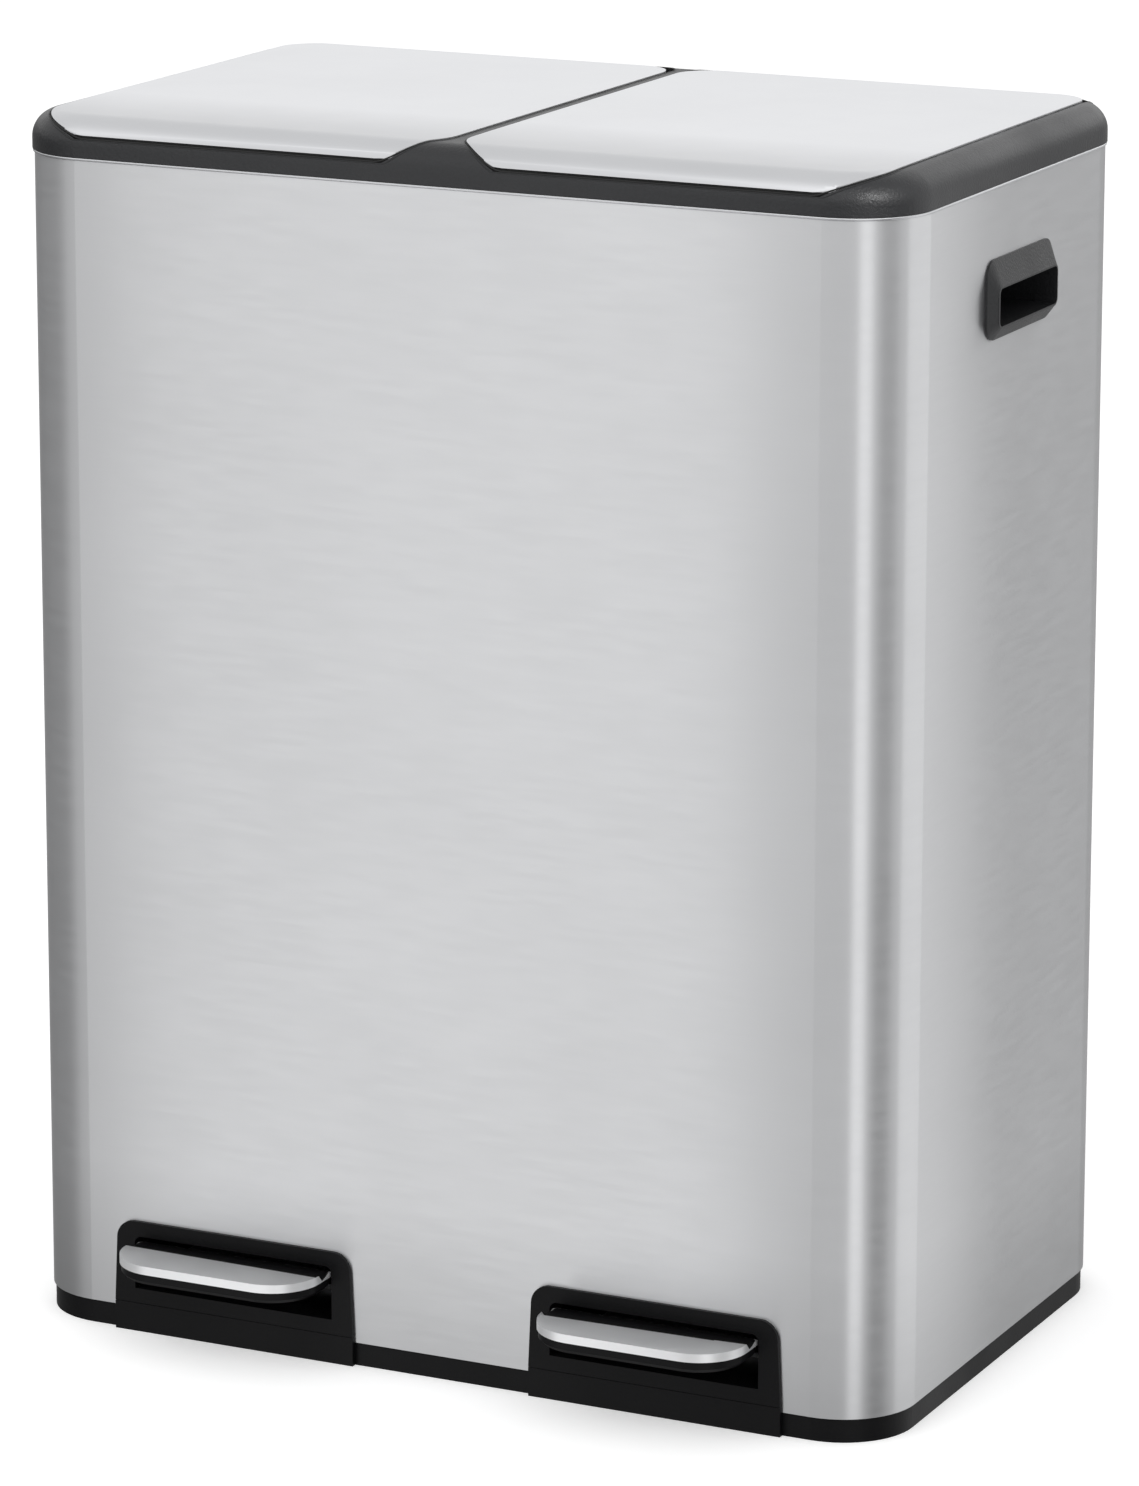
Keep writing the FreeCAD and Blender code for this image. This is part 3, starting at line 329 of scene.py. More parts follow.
def moulded_plastic(name, base, settings, roughness, texture, gloss=0.5):
    """Moulded plastic: a fine speckled texture, a slow change of sheen and worn high spots."""
    material, tree, shader = material_with_shader(name)
    shader.inputs["Specular IOR Level"].default_value = gloss
    speckle = noise(tree, 1.0 / settings.speckle, 3.0)
    cloud = noise(tree, 14.0, 2.0)
    tree.links.new(tinted(tree, base, ramped(tree, speckle, 0.0, 1.0), 0.10), shader.inputs["Base Color"])
    tree.links.new(ramped(tree, cloud, roughness - 0.05, roughness + 0.06), shader.inputs["Roughness"])
    bumped(tree, shader, speckle, 0.25 * MM, texture)
    return material


def plated_metal(name, base, roughness):
    """Zinc-plated or turned metal: drawn lines, a faint mottle and small pits."""
    material, tree, shader = material_with_shader(name)
    shader.inputs["Metallic"].default_value = 1.0
    mottle = noise(tree, 160.0, 3.0)
    drawn = noise(tree, 900.0, 2.0, (1.0, 0.08, 0.08))
    tree.links.new(tinted(tree, base, ramped(tree, mottle, 0.0, 1.0), 0.07), shader.inputs["Base Color"])
    tree.links.new(ramped(tree, drawn, roughness - 0.05, roughness + 0.07), shader.inputs["Roughness"])
    bumped(tree, shader, drawn, 0.03 * MM, 0.3)
    return material


def rubber_skin(name, base):
    """Rubber with a dusty bloom."""
    material, tree, shader = material_with_shader(name)
    dust = noise(tree, 420.0, 4.0)
    tree.links.new(tinted(tree, base, ramped(tree, dust, 0.0, 1.0), 0.3), shader.inputs["Base Color"])
    tree.links.new(ramped(tree, dust, 0.70, 0.88), shader.inputs["Roughness"])
    bumped(tree, shader, dust, 0.1 * MM, 0.25)
    return material


MATERIALS = {}


def make_materials(settings):
    """The finishes by the record's slot names."""
    flat_lines = (0.012, 0.012, 1.0)
    lid_lines = (0.012, 1.0, 1.0)
    MATERIALS.update({
        # Painted shade: the body steel is darkened towards its bottom.
        "brushed_steel": brushed_steel("Brushed body steel", settings.steel, settings,
                                       settings.steel_roughness, settings.steel_brush, flat_lines,
                                       ("Z", CASING_LOW.z, CASING_LOW.z + 80 * MM, 0.78)),
        # Painted shade: the lid steel is darkened towards the lids' front edge.
        "lid_steel": brushed_steel("Satin lid steel", settings.lid_steel, settings, 0.34, 0.0, lid_lines,
                                   ("Y", LID_LOW.y + 12 * MM, LID_LOW.y + 85 * MM, 0.77)),
        "pedal_steel": brushed_steel("Satin pedal steel", settings.pedal_steel, settings, 0.36, 0.0,
                                     lid_lines, metal=0.62),
        "rim_plastic": moulded_plastic("Speckled rim plastic", settings.rim, settings, 0.38, 1.0, 0.42),
        "base_plastic": moulded_plastic("Black base plastic", settings.base, settings, 0.40, 0.25, 0.12),
        "bucket_plastic": moulded_plastic("Bucket plastic", settings.bucket, settings, 0.38, 0.20),
        "inner_plastic": moulded_plastic("Inner plastic", settings.inner, settings, 0.50, 0.30),
        "zinc_steel": plated_metal("Zinc plate", settings.zinc, 0.34),
        "damper_metal": plated_metal("Turned damper metal", settings.zinc, 0.28),
        "rubber": rubber_skin("Rubber", settings.rubber),
    })


# ---- Building pieces ----
def place_piece(bm, name, body, slot, smooth=30.0, replaced=()):
    """Turns a bmesh into a finished piece on its body."""
    mesh = bpy.data.meshes.new(name)
    bm.to_mesh(mesh)
    bm.free()
    for polygon in mesh.polygons:
        polygon.use_smooth = True
    mesh.set_sharp_from_angle(angle=math.radians(smooth))
    mesh.materials.append(MATERIALS[slot])
    piece = bpy.data.objects.new(name, mesh)
    bpy.context.scene.collection.objects.link(piece)
    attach(piece, body)
    if replaced:
        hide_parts(*replaced)


def mirror_to_left(bm):
    """Turns a right-hand piece into its left-hand twin."""
    bmesh.ops.scale(bm, vec=(-1, 1, 1), verts=bm.verts)
    bmesh.ops.reverse_faces(bm, faces=bm.faces)


def rounded_face(bm, x0, x1, y0, y1, front, back, segments):
    """One flat face with rounded corners, level at z 0."""
    made = bmesh.ops.create_grid(bm, x_segments=1, y_segments=1, size=0.5)
    for vert in made["verts"]:
        vert.co = Vector((x0 if vert.co.x < 0 else x1, y0 if vert.co.y < 0 else y1, 0.0))
    middle = (y0 + y1) / 2
    for radius, chosen in ((front, [v for v in made["verts"] if v.co.y < middle]),
                           (back, [v for v in made["verts"] if v.co.y > middle])):
        bmesh.ops.bevel(bm, geom=chosen, offset=radius, offset_type="OFFSET", segments=segments,
                        profile=0.5, affect="VERTICES", material=-1, clamp_overlap=False)
    bmesh.ops.recalc_face_normals(bm, faces=bm.faces)
    face = bm.faces[:][0]
    if face.normal.z < 0:
        bmesh.ops.reverse_faces(bm, faces=[face])
    return face


def rounded_outline(x0, x1, y0, y1, front, back, segments):
    """Outline points of a rounded rectangle."""
    bm = bmesh.new()
    face = rounded_face(bm, x0, x1, y0, y1, front, back, segments)
    points = [loop.vert.co.copy() for loop in face.loops]
    bm.free()
    return points


def inset_rings(bm, face, steps):
    """Insets a face to each distance in turn and says how far in each vertex lies."""
    depth = {vert: 0.0 for vert in face.verts}
    last = 0.0
    for step in steps:
        bmesh.ops.inset_region(bm, faces=[face], thickness=step - last, use_even_offset=True)
        last = step
        for vert in face.verts:
            depth[vert] = step
    return depth


def turn_down(bm, edges, level):
    """A wall from the edges down to the height that level gives for each point."""
    extruded = bmesh.ops.extrude_edge_only(bm, edges=edges)
    for vert in (item for item in extruded["geom"] if isinstance(item, bmesh.types.BMVert)):
        vert.co.z = level(vert.co)


def thicken(bm, gauge):
    """Gives an open surface the thickness of a sheet."""
    bmesh.ops.recalc_face_normals(bm, faces=bm.faces)
    bmesh.ops.solidify(bm, geom=bm.faces[:], thickness=gauge)


def rounded_block(size, centre, bevel, segments):
    """A block with rounded edges."""
    bm = bmesh.new()
    bmesh.ops.create_cube(bm, size=1.0)
    bmesh.ops.scale(bm, vec=size, verts=bm.verts)
    bmesh.ops.translate(bm, vec=centre, verts=bm.verts)
    bmesh.ops.bevel(bm, geom=bm.edges[:], offset=bevel, offset_type="OFFSET", segments=segments,
                    profile=0.5, affect="EDGES", material=-1)
    return bm


def bead_along(name, points, radius, slot):
    """A thin closed bead on the cabinet that follows points."""
    curve = bpy.data.curves.new(name, "CURVE")
    curve.dimensions = "3D"
    curve.bevel_depth = radius
    curve.bevel_resolution = 3
    spline = curve.splines.new("POLY")
    spline.points.add(len(points) - 1)
    for point, co in zip(spline.points, points):
        point.co = (*co, 1.0)
    spline.use_cyclic_u = True
    holder = bpy.data.objects.new(name + "_line", curve)
    bpy.context.scene.collection.objects.link(holder)
    evaluated = holder.evaluated_get(bpy.context.evaluated_depsgraph_get())
    bm = bmesh.new()
    bm.from_mesh(bpy.data.meshes.new_from_object(evaluated))
    bpy.data.objects.remove(holder)
    bpy.data.curves.remove(curve)
    bmesh.ops.remove_doubles(bm, verts=bm.verts, dist=0.001 * MM)
    bmesh.ops.recalc_face_normals(bm, faces=bm.faces)
    place_piece(bm, name, "cabinet", slot, 80.0)


# ---- Shape of the shoulder ----
def inside_casing(x, y, proud):
    """How far a point lies inside the casing's outline, moved outwards by proud."""
    corner = CASING_CORNER + proud
    qx, qy = abs(x) - (CASING_HIGH.x + proud - corner), abs(y) - (CASING_HIGH.y + proud - corner)
    outside = math.hypot(max(qx, 0.0), max(qy, 0.0)) + min(max(qx, qy), 0.0)
    return corner - outside


def rounded_fall(distance, radius):
    """How far a quarter-round edge has fallen at a distance inside it."""
    reach = max(0.0, radius - distance)
    return radius - math.sqrt(max(0.0, radius * radius - reach * reach))


# ---- Lids ----
def lid_cuts(settings):
    """Planes that divide a lid's face where it bends over the front and the outer corner."""
    shoulder_end = settings.shoulder + PAST_SHOULDER
    near = [index * shoulder_end / 16 for index in range(1, 17)]
    far = [shoulder_end + index * (settings.crown_reach - shoulder_end) / 8 for index in range(1, 9)]
    cuts = [(Vector((0, LID_LOW.y + reach, 0)), Vector((0, 1, 0))) for reach in near + far]
    start = CASING_HIGH.x + settings.proud - settings.shoulder - settings.front_corner
    step = (LID_HIGH.x - start) / 12
    return cuts + [(Vector((start + index * step, 0, 0)), Vector((1, 0, 0))) for index in range(1, 12)]


def lid_shell(settings):
    """The right lid's pressed sheet: draped front, rolled edges and turned-down walls."""
    bm = bmesh.new()
    face = rounded_face(bm, LID_LOW.x, LID_HIGH.x, LID_LOW.y, LID_HIGH.y,
                        settings.front_corner, settings.back_corner, 28)
    steps = [settings.roll * part for part in (0.06, 0.2, 0.45, 0.75, 1.0)]
    steps += [settings.crease + part * CREASE_REACH for part in (-1.0, -0.5, 0.0, 0.5, 1.0)]
    depth = inset_rings(bm, face, steps)
    flat = steps[-1]
    for place, normal in lid_cuts(settings):
        inner = [f for f in bm.faces if all(depth.get(v, flat) >= flat * 0.99 for v in f.verts)]
        edges = dict.fromkeys(edge for f in inner for edge in f.edges)
        verts = dict.fromkeys(vert for f in inner for vert in f.verts)
        geometry = inner + list(edges) + list(verts)
        bmesh.ops.bisect_plane(bm, geom=geometry, plane_co=place, plane_no=normal)
    bmesh.ops.remove_doubles(bm, verts=bm.verts, dist=0.03 * MM)
    open_edges = [edge for edge in bm.edges if edge.is_boundary]
    for vert in bm.verts:
        sunk = max(0.0, 1.0 - (vert.co.y - LID_LOW.y) / settings.crown_reach)
        inside = inside_casing(vert.co.x, vert.co.y, settings.proud)
        vert.co.z = LID_HIGH.z - settings.crown * sunk * sunk - rounded_fall(inside, settings.shoulder)
    bm.normal_update()
    normals = {vert: vert.normal.copy() if vert.normal.z > 0 else -vert.normal for vert in bm.verts}
    for vert in bm.verts:
        inside = depth.get(vert, flat)
        crease = settings.crease_depth * max(0.0, 1.0 - abs(inside - settings.crease) / CREASE_REACH)
        vert.co -= normals[vert] * (rounded_fall(inside, settings.roll) * normals[vert].z + crease)

    def wall_end(point):
        hinged = point.y > LID_HIGH.y - settings.back_corner
        return min(point.z - 0.1 * MM, LID_HIGH.z - settings.back_wall if hinged else LID_LOW.z)

    turn_down(bm, open_edges, wall_end)
    thicken(bm, settings.gauge)
    return bm


class RECYCLING_BIN_OT_lids(bpy.types.Operator):
    """Builds the two steel lids"""
    bl_idname = "recycling_bin.lids"
    bl_label = "Lids"

    def execute(self, context):
        for side, sign in SIDES:
            bm = lid_shell(context.scene.recycling_bin.lid)
            if sign < 0:
                mirror_to_left(bm)
            place_piece(bm, "lid_sheet_" + side, "lid_" + side, "lid_steel", 40.0, ["lid_cover_" + side])
        return {"FINISHED"}


# ---- Trim of the casing and rim ----
def pocket_line(trim, lid, sign, gap, sunk):
    """Points round one lid's pocket, draped over the rim and sunk a little."""
    edge = rounded_outline(LID_LOW.x - gap, LID_HIGH.x + gap, LID_LOW.y - gap,
                           LID_HIGH.y + gap - trim.pocket_gap + trim.pocket_back_gap,
                           lid.front_corner + gap, trim.pocket_back_corner, 18)
    front = -(CASING_HIGH.y + lid.proud) + FRONT_LINE_INSET
    points = []
    for point in edge:
        y = max(point.y, front)
        fall = min(rounded_fall(inside_casing(point.x, y, lid.proud), trim.rim_shoulder), trim.pocket_drop)
        points.append((sign * point.x, max(y, front + sunk), RIM_HIGH.z - fall - sunk))
    return points


class RECYCLING_BIN_OT_trim(bpy.types.Operator):
    """Builds the hem, the pockets' edges, the back seam, and black beads and strips of painted shade in the
    gaps round the lids
    """
    bl_idname = "recycling_bin.trim"
    bl_label = "Casing and rim trim"

    def execute(self, context):
        trim, lid = context.scene.recycling_bin.trim, context.scene.recycling_bin.lid
        x, y, level = CASING_HIGH.x, CASING_HIGH.y, CASING_HIGH.z - trim.hem
        hem = rounded_outline(-x, x, -y, y, CASING_CORNER, CASING_CORNER, 20)
        # The hem takes the lid steel, whose lightness is partly painted light, so that it shows as a bright
        # line under the rim.
        bead_along("casing_hem", [(point.x, point.y, level) for point in hem], trim.hem, "lid_steel")
        width = LID_HIGH.x - LID_LOW.x - SHADOW_STRIP_CLEAR * lid.front_corner
        for side, sign in SIDES:
            edge = pocket_line(trim, lid, sign, trim.pocket_gap + trim.pocket_bead, trim.pocket_bead_sunk)
            bead_along("pocket_edge_" + side, edge, trim.pocket_bead, "rim_plastic")
            # A black bead in each pocket's gap and a black strip under each lid's front edge: painted shade
            # where the gaps lie in shadow.
            edge = pocket_line(trim, lid, sign, trim.pocket_gap - trim.shadow_bead, trim.shadow_bead_sunk)
            bead_along("lid_shadow_bead_" + side, edge, trim.shadow_bead, "rubber")
            centre = (sign * (LID_LOW.x + LID_HIGH.x) / 2, LID_LOW.y + trim.shadow_strip_inset + trim.shadow_strip / 2,
                      RIM_HIGH.z - trim.pocket_drop + trim.shadow_strip_height / 2)
            bm = rounded_block((width, trim.shadow_strip, trim.shadow_strip_height), centre, 0.2 * MM, 2)
            place_piece(bm, "lid_shadow_strip_" + side, "cabinet", "rubber")
        height = CASING_HIGH.z - CASING_LOW.z - 2 * trim.seam_short
        bm = rounded_block((trim.seam_width, 2 * trim.seam_height, height),
                           (0, CASING_HIGH.y, (CASING_HIGH.z + CASING_LOW.z) / 2), 0.5 * MM, 3)
        place_piece(bm, "back_seam", "cabinet", "brushed_steel")
        return {"FINISHED"}


# ---- Pedals ----
def pedal_shell(settings):
    """The right pedal's pressed cap: rolled edge, border, raised field and back strip."""
    bm = bmesh.new()
    face = rounded_face(bm, CAP_LOW.x, CAP_HIGH.x, CAP_LOW.y, CAP_HIGH.y,
                        settings.front_corner, settings.back_corner, 14)
    roll = [settings.roll * (1.0 - math.cos(math.radians(turn))) for turn in (15, 30, 45, 60, 75, 90)]
    border = [settings.border + offset * MM for offset in (-1.2, -0.4, 0.4, 1.4, 3.0, 6.0, 10.0)]
    depth = inset_rings(bm, face, roll + border)
    crease = CAP_HIGH.y - settings.crease
    for offset in (-1.0, -0.4, 0.0, 0.6):
        geometry = bm.faces[:] + bm.edges[:] + bm.verts[:]
        bmesh.ops.bisect_plane(bm, geom=geometry, plane_co=(0, crease + offset * MM, 0), plane_no=(0, 1, 0))
        for vert in bm.verts:
            if vert not in depth:
                depth[vert] = min(vert.co.x - CAP_LOW.x, CAP_HIGH.x - vert.co.x,
                                  vert.co.y - CAP_LOW.y, CAP_HIGH.y - vert.co.y)
    open_edges = [edge for edge in bm.edges if edge.is_boundary]
    for vert in bm.verts:
        inside = depth[vert]
        past_border = inside - settings.border
        groove = settings.groove * max(0.0, 1.0 - abs(past_border) / settings.groove_reach)
        dome = settings.dome * (min(1.0, max(0.0, past_border / settings.dome_reach)) - 1.0)
        z = CAP_HIGH.z + dome - rounded_fall(inside, settings.roll) - groove
        behind = (vert.co.y - crease) / settings.crease
        if behind > 0:
            strip = settings.strip_drop + settings.fall * behind + 0.6 * rounded_fall(inside, settings.roll)
            z = min(z, CAP_HIGH.z - strip)
        vert.co.z = max(z, CAP_LOW.z + settings.edge_height)
    turn_down(bm, open_edges, lambda point: CAP_LOW.z)
    thicken(bm, settings.gauge)
    return bm


class RECYCLING_BIN_OT_pedals(bpy.types.Operator):
    """Builds the two pedal caps"""
    bl_idname = "recycling_bin.pedals"
    bl_label = "Pedals"

    def execute(self, context):
        for side, sign in SIDES:
            bm = pedal_shell(context.scene.recycling_bin.pedal)
            if sign < 0:
                mirror_to_left(bm)
            place_piece(bm, "pedal_plate_" + side, "pedal_" + side, "pedal_steel", 45.0,
                        ["pedal_cap_" + side])
        return {"FINISHED"}


# ---- Surrounds ----
class RECYCLING_BIN_OT_surrounds(bpy.types.Operator):
    """Builds the lit outer edge of each pedal surround"""
    bl_idname = "recycling_bin.surrounds"
    bl_label = "Pedal surrounds"

    def execute(self, context):
        trim = context.scene.recycling_bin.trim
        radius = trim.surround_bead
        outline = rounded_outline(SURROUND_LOW.x + radius, SURROUND_HIGH.x - radius,
                                  SURROUND_LOW.z + radius, SURROUND_HIGH.z - radius,
                                  trim.surround_foot_corner, trim.surround_top_corner, 10)
        middle = (SURROUND_LOW.x + SURROUND_HIGH.x) / 2
        for side, sign in SIDES:
            points = []
            for point in outline:
                rise = (point.y - SURROUND_LOW.z) / (SURROUND_HIGH.z - SURROUND_LOW.z)
                narrow = trim.surround_narrow * rise * (1 if point.x < middle else -1)
                points.append((sign * (point.x + narrow), SURROUND_LOW.y + radius, point.y))
            # The edge takes the rim plastic, lighter and glossier than the surround's base plastic, so that
            # it shows as a light line: partly painted highlight.
            bead_along("surround_edge_" + side, points, radius, "rim_plastic")
        return {"FINISHED"}


# ---- Handles ----
class RECYCLING_BIN_OT_handles(bpy.types.Operator):
    """Builds the ridge round each handle's opening"""
    bl_idname = "recycling_bin.handles"
    bl_label = "Side handles"

    def execute(self, context):
        radius = context.scene.recycling_bin.trim.handle_bead
        ridge = rounded_outline(*GRIP_REACH, *GRIP_HEIGHTS, GRIP_CORNER, GRIP_CORNER, 8)
        for side, sign in SIDES:
            x = sign * (HANDLE_HIGH.x - radius)
            points = [(x, point.x, point.y) for point in ridge]
            bead_along("handle_ridge_" + side, points, radius, "rim_plastic")
        return {"FINISHED"}


# ---- Finishes of the carried-over nodes ----
class RECYCLING_BIN_OT_finishes(bpy.types.Operator):
    """Makes the materials and gives every carried-over node its own"""
    bl_idname = "recycling_bin.finishes"
    bl_label = "Finishes"

    def execute(self, context):
        make_materials(context.scene.recycling_bin.finish)
        slots = {part["node"]: part["material_slot"] for part in frame["record"]["subparts"]}
        for node, piece in frame["nodes"].items():
            slot = slots[node]
            piece.data.materials.clear()
            piece.data.materials.append(MATERIALS[slot])
        return {"FINISHED"}


# ---- Stage ----
def studio_world(settings):
    """Even light, white for the camera, with soft cards for what the metal mirrors."""
    world = bpy.data.worlds.new("Studio")
    bpy.context.scene.world = world
    world.use_nodes = True
    tree = world.node_tree
    background = tree.nodes["Background"]
    background.inputs["Color"].default_value = (1, 1, 1, 1)
    place = add_node(tree, "ShaderNodeTexCoord")
    flat = add_node(tree, "ShaderNodeVectorMath", operation="MULTIPLY")
    flat.inputs[1].default_value = (1, 1, 0)
    heading = add_node(tree, "ShaderNodeVectorMath", operation="NORMALIZE")
    tree.links.new(place.outputs["Generated"], flat.inputs[0])
    tree.links.new(flat.outputs["Vector"], heading.inputs[0])
    height = add_node(tree, "ShaderNodeSeparateXYZ")
    tree.links.new(place.outputs["Generated"], height.inputs[0])

    def blended(under, over, factor):
        """Under where the factor is 0, over where it is 1; each a number or a socket."""
        node = add_node(tree, "ShaderNodeMix", data_type="FLOAT")
        for socket, value in (("A", under), ("B", over), ("Factor", factor)):
            if isinstance(value, (int, float)):
                node.inputs[socket].default_value = value
            else:
                tree.links.new(value, node.inputs[socket])
        return node.outputs["Result"]

    def card(azimuth, half_width, softness):
        """1 inside a band of headings, 0 outside it."""
        dot = add_node(tree, "ShaderNodeVectorMath", operation="DOT_PRODUCT")
        turn = math.radians(azimuth)
        dot.inputs[1].default_value = (math.cos(turn), math.sin(turn), 0)
        tree.links.new(heading.outputs["Vector"], dot.inputs[0])
        edge = add_node(tree, "ShaderNodeMapRange", interpolation_type="SMOOTHSTEP")
        tree.links.new(dot.outputs["Value"], edge.inputs["Value"])
        edge.inputs["From Min"].default_value = math.cos(math.radians(half_width + softness))
        edge.inputs["From Max"].default_value = math.cos(math.radians(max(0.0, half_width - softness)))
        return edge.outputs["Result"]

    def ramp_up(value, start, end, low=0.0, high=1.0):
        """Low below the start, high above the end, smooth between them."""
        node = add_node(tree, "ShaderNodeMapRange", interpolation_type="SMOOTHSTEP")
        for key, number in (("From Min", start), ("From Max", end), ("To Min", low), ("To Max", high)):
            node.inputs[key].default_value = number
        tree.links.new(value, node.inputs["Value"])
        return node.outputs["Result"]

    def product(first, second):
        """The two sockets multiplied."""
        node = add_node(tree, "ShaderNodeMath", operation="MULTIPLY")
        tree.links.new(first, node.inputs[0])
        tree.links.new(second, node.inputs[1])
        return node.outputs["Value"]

    level = BETWEEN_BANDS
    for azimuth, half_width, softness, brightness in STEEL_BANDS:
        level = blended(level, brightness, card(azimuth, half_width, softness))
    rise = height.outputs["Z"]
    sky = ramp_up(rise, 0.18, 0.70, LOW_SKY, HIGH_SKY)
    sky = blended(sky, FRONT_SKY, product(card(-64.0, 70.0, 25.0), ramp_up(rise, 0.95, 0.70)))
    sky = blended(sky, SIDE_SKY, product(card(66.0, 22.0, 12.0), ramp_up(rise, 0.80, 0.55)))
    mirrored = blended(level, sky, ramp_up(rise, 0.05, 0.16))
    path = add_node(tree, "ShaderNodeLightPath")
    strength = blended(settings.world, mirrored, path.outputs["Is Glossy Ray"])
    strength = blended(strength, 1.0, path.outputs["Is Camera Ray"])
    strength = blended(strength, 1.0, path.outputs["Is Transmission Ray"])
    tree.links.new(strength, background.inputs["Strength"])


def pale_floor(settings):
    """A plain pale floor that keeps the bin's shadow."""
    bm = bmesh.new()
    bmesh.ops.create_grid(bm, x_segments=1, y_segments=1, size=FLOOR_REACH)
    mesh = bpy.data.meshes.new("floor")
    bm.to_mesh(mesh)
    bm.free()
    floor = bpy.data.objects.new("floor", mesh)
    bpy.context.scene.collection.objects.link(floor)
    material, tree, shader = material_with_shader("Pale floor")
    shader.inputs["Base Color"].default_value = (*settings.floor, 1.0)
    shader.inputs["Roughness"].default_value = 1.0
    shader.inputs["Specular IOR Level"].default_value = 0.0
    path = add_node(tree, "ShaderNodeLightPath")
    glow = add_node(tree, "ShaderNodeMath", operation="MULTIPLY")
    glow.inputs[1].default_value = FLOOR_GLOW
    tree.links.new(path.outputs["Is Camera Ray"], glow.inputs[0])
    shader.inputs["Emission Color"].default_value = (1, 1, 1, 1)
    tree.links.new(glow.outputs["Value"], shader.inputs["Emission Strength"])
    mesh.materials.append(material)
    floor.visible_glossy = False


def reflector(name, start, end, strength):
    """An upright card that only the metal's reflections see."""
    corners = [(*start, CARD_BOTTOM), (*end, CARD_BOTTOM), (*end, CARD_TOP), (*start, CARD_TOP)]
    mesh = bpy.data.meshes.new(name)
    bm = bmesh.new()
    bm.faces.new([bm.verts.new(corner) for corner in corners])
    bm.to_mesh(mesh)
    bm.free()
    card = bpy.data.objects.new(name, mesh)
    bpy.context.scene.collection.objects.link(card)
    material = bpy.data.materials.new(name)
    material.use_nodes = True
    tree = material.node_tree
    tree.nodes.clear()
    glow = add_node(tree, "ShaderNodeEmission", Strength=strength)
    out = add_node(tree, "ShaderNodeOutputMaterial")
    tree.links.new(glow.outputs["Emission"], out.inputs["Surface"])
    mesh.materials.append(material)
    card.visible_camera = card.visible_diffuse = card.visible_shadow = False
    card.visible_transmission = card.visible_volume_scatter = False


def soft_lamp(name, power, size, place, aim=(0.0, 0.0, 0.3)):
    """A large soft lamp that looks at the bin."""
    data = bpy.data.lights.new(name, "AREA")
    data.energy, data.size, data.shape = power, size, "SQUARE"
    lamp = bpy.data.objects.new(name, data)
    lamp.location = place
    lamp.rotation_mode = "QUATERNION"
    lamp.rotation_quaternion = (Vector(aim) - Vector(place)).to_track_quat("-Z", "Y")
    bpy.context.scene.collection.objects.link(lamp)
    lamp.visible_glossy = False
    return lamp


def corner_lamp(settings):
    """A small lamp that lights only the rim, for the speckled glint on its front corner."""
    corner = Vector((0.228, -0.136, 0.628))
    turn, rise, distance = math.radians(-36.0), math.radians(24.0), 1.6
    heading = Vector((math.cos(turn) * math.cos(rise), math.sin(turn) * math.cos(rise), math.sin(rise)))
    place = corner + distance * heading
    lamp = soft_lamp("corner", power=settings.sparkle, size=0.30, place=place, aim=corner)
    lamp.visible_glossy = True
    lit = bpy.data.collections.new("lit by the corner lamp")
    lit.objects.link(frame["nodes"]["top_rim"])
    lamp.light_linking.receiver_collection = lit


def studio_camera(settings):
    """The camera at the picture's viewing angle."""
    data = bpy.data.cameras.new("camera")
    data.lens, data.sensor_width, data.shift_y = settings.lens, 36.0, settings.shift
    data.clip_end = 100.0
    camera = bpy.data.objects.new("camera", data)
    azimuth, elevation, roll = settings.azimuth, settings.elevation, settings.roll
    back = Vector((math.sin(azimuth) * math.cos(elevation), -math.cos(azimuth) * math.cos(elevation),
                   math.sin(elevation)))
    right = (-back).cross(Vector((0, 0, 1))).normalized()
    up = right.cross(-back)
    right, up = right * math.cos(roll) + up * math.sin(roll), up * math.cos(roll) - right * math.sin(roll)
    turned = Matrix((right, up, back)).transposed().to_4x4()
    camera.matrix_world = Matrix.Translation(Vector(settings.place)) @ turned
    bpy.context.scene.collection.objects.link(camera)
    bpy.context.scene.camera = camera


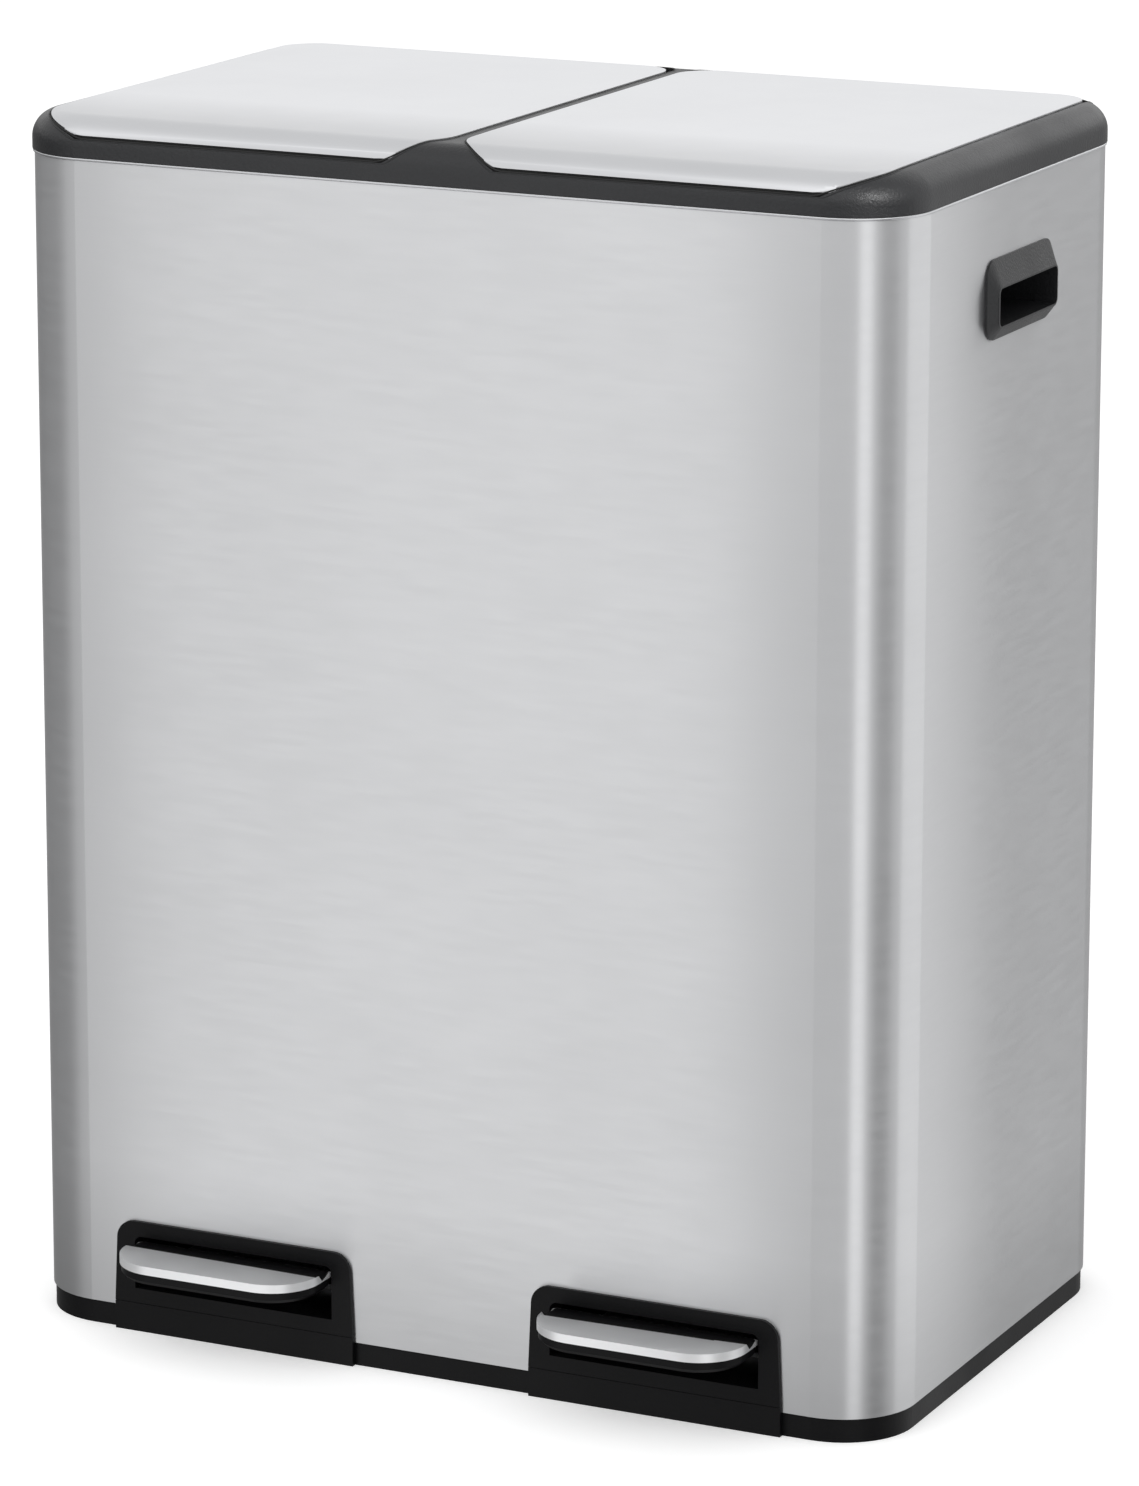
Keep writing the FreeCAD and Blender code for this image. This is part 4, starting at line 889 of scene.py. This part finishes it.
class RECYCLING_BIN_OT_stage(bpy.types.Operator):
    """Sets up the floor, the light and the camera"""
    bl_idname = "recycling_bin.stage"
    bl_label = "Studio"

    def execute(self, context):
        settings = context.scene.recycling_bin.stage
        context.scene.view_settings.view_transform = "Standard"
        studio_world(settings)
        pale_floor(settings)
        for name, start, end, strength in CARDS:
            reflector(name, start, end, strength)
        soft_lamp("key", power=settings.key, size=2.4, place=(-1.2, -2.6, 3.0))
        soft_lamp("fill", power=settings.fill, size=2.0, place=(2.6, -0.6, 1.8))
        corner_lamp(settings)
        studio_camera(settings)
        return {"FINISHED"}


# ---- Panel ----
class RECYCLING_BIN_PT_panel(bpy.types.Panel):
    """Lists the bin's steps"""
    bl_idname = "RECYCLING_BIN_PT_panel"
    bl_label = "Recycling Bin"
    bl_space_type = "VIEW_3D"
    bl_region_type = "UI"
    bl_category = "Recycling Bin"

    def draw(self, context):
        for step in STEPS:
            self.layout.operator(step.bl_idname)
        settings = context.scene.recycling_bin
        for group in (settings.finish, settings.lid, settings.trim, settings.pedal, settings.stage):
            box = self.layout.box()
            for name in group.__annotations__:
                box.prop(group, name)


STEPS = (
    RECYCLING_BIN_OT_finishes,
    RECYCLING_BIN_OT_lids,
    RECYCLING_BIN_OT_trim,
    RECYCLING_BIN_OT_pedals,
    RECYCLING_BIN_OT_surrounds,
    RECYCLING_BIN_OT_handles,
    RECYCLING_BIN_OT_stage,
)
GROUPS = (FinishSettings, LidSettings, TrimSettings, PedalSettings, StageSettings, BinSettings)
CLASSES = GROUPS + STEPS + (RECYCLING_BIN_PT_panel,)


def register():
    for item in CLASSES:
        bpy.utils.register_class(item)
    bpy.types.Scene.recycling_bin = PointerProperty(type=BinSettings)


def unregister():
    del bpy.types.Scene.recycling_bin
    for item in reversed(CLASSES):
        bpy.utils.unregister_class(item)


def main():
    register()
    bpy.ops.recycling_bin.finishes()
    bpy.ops.recycling_bin.lids()
    bpy.ops.recycling_bin.trim()
    bpy.ops.recycling_bin.pedals()
    bpy.ops.recycling_bin.surrounds()
    bpy.ops.recycling_bin.handles()
    bpy.ops.recycling_bin.stage()


if __name__ == "__main__":
    main()
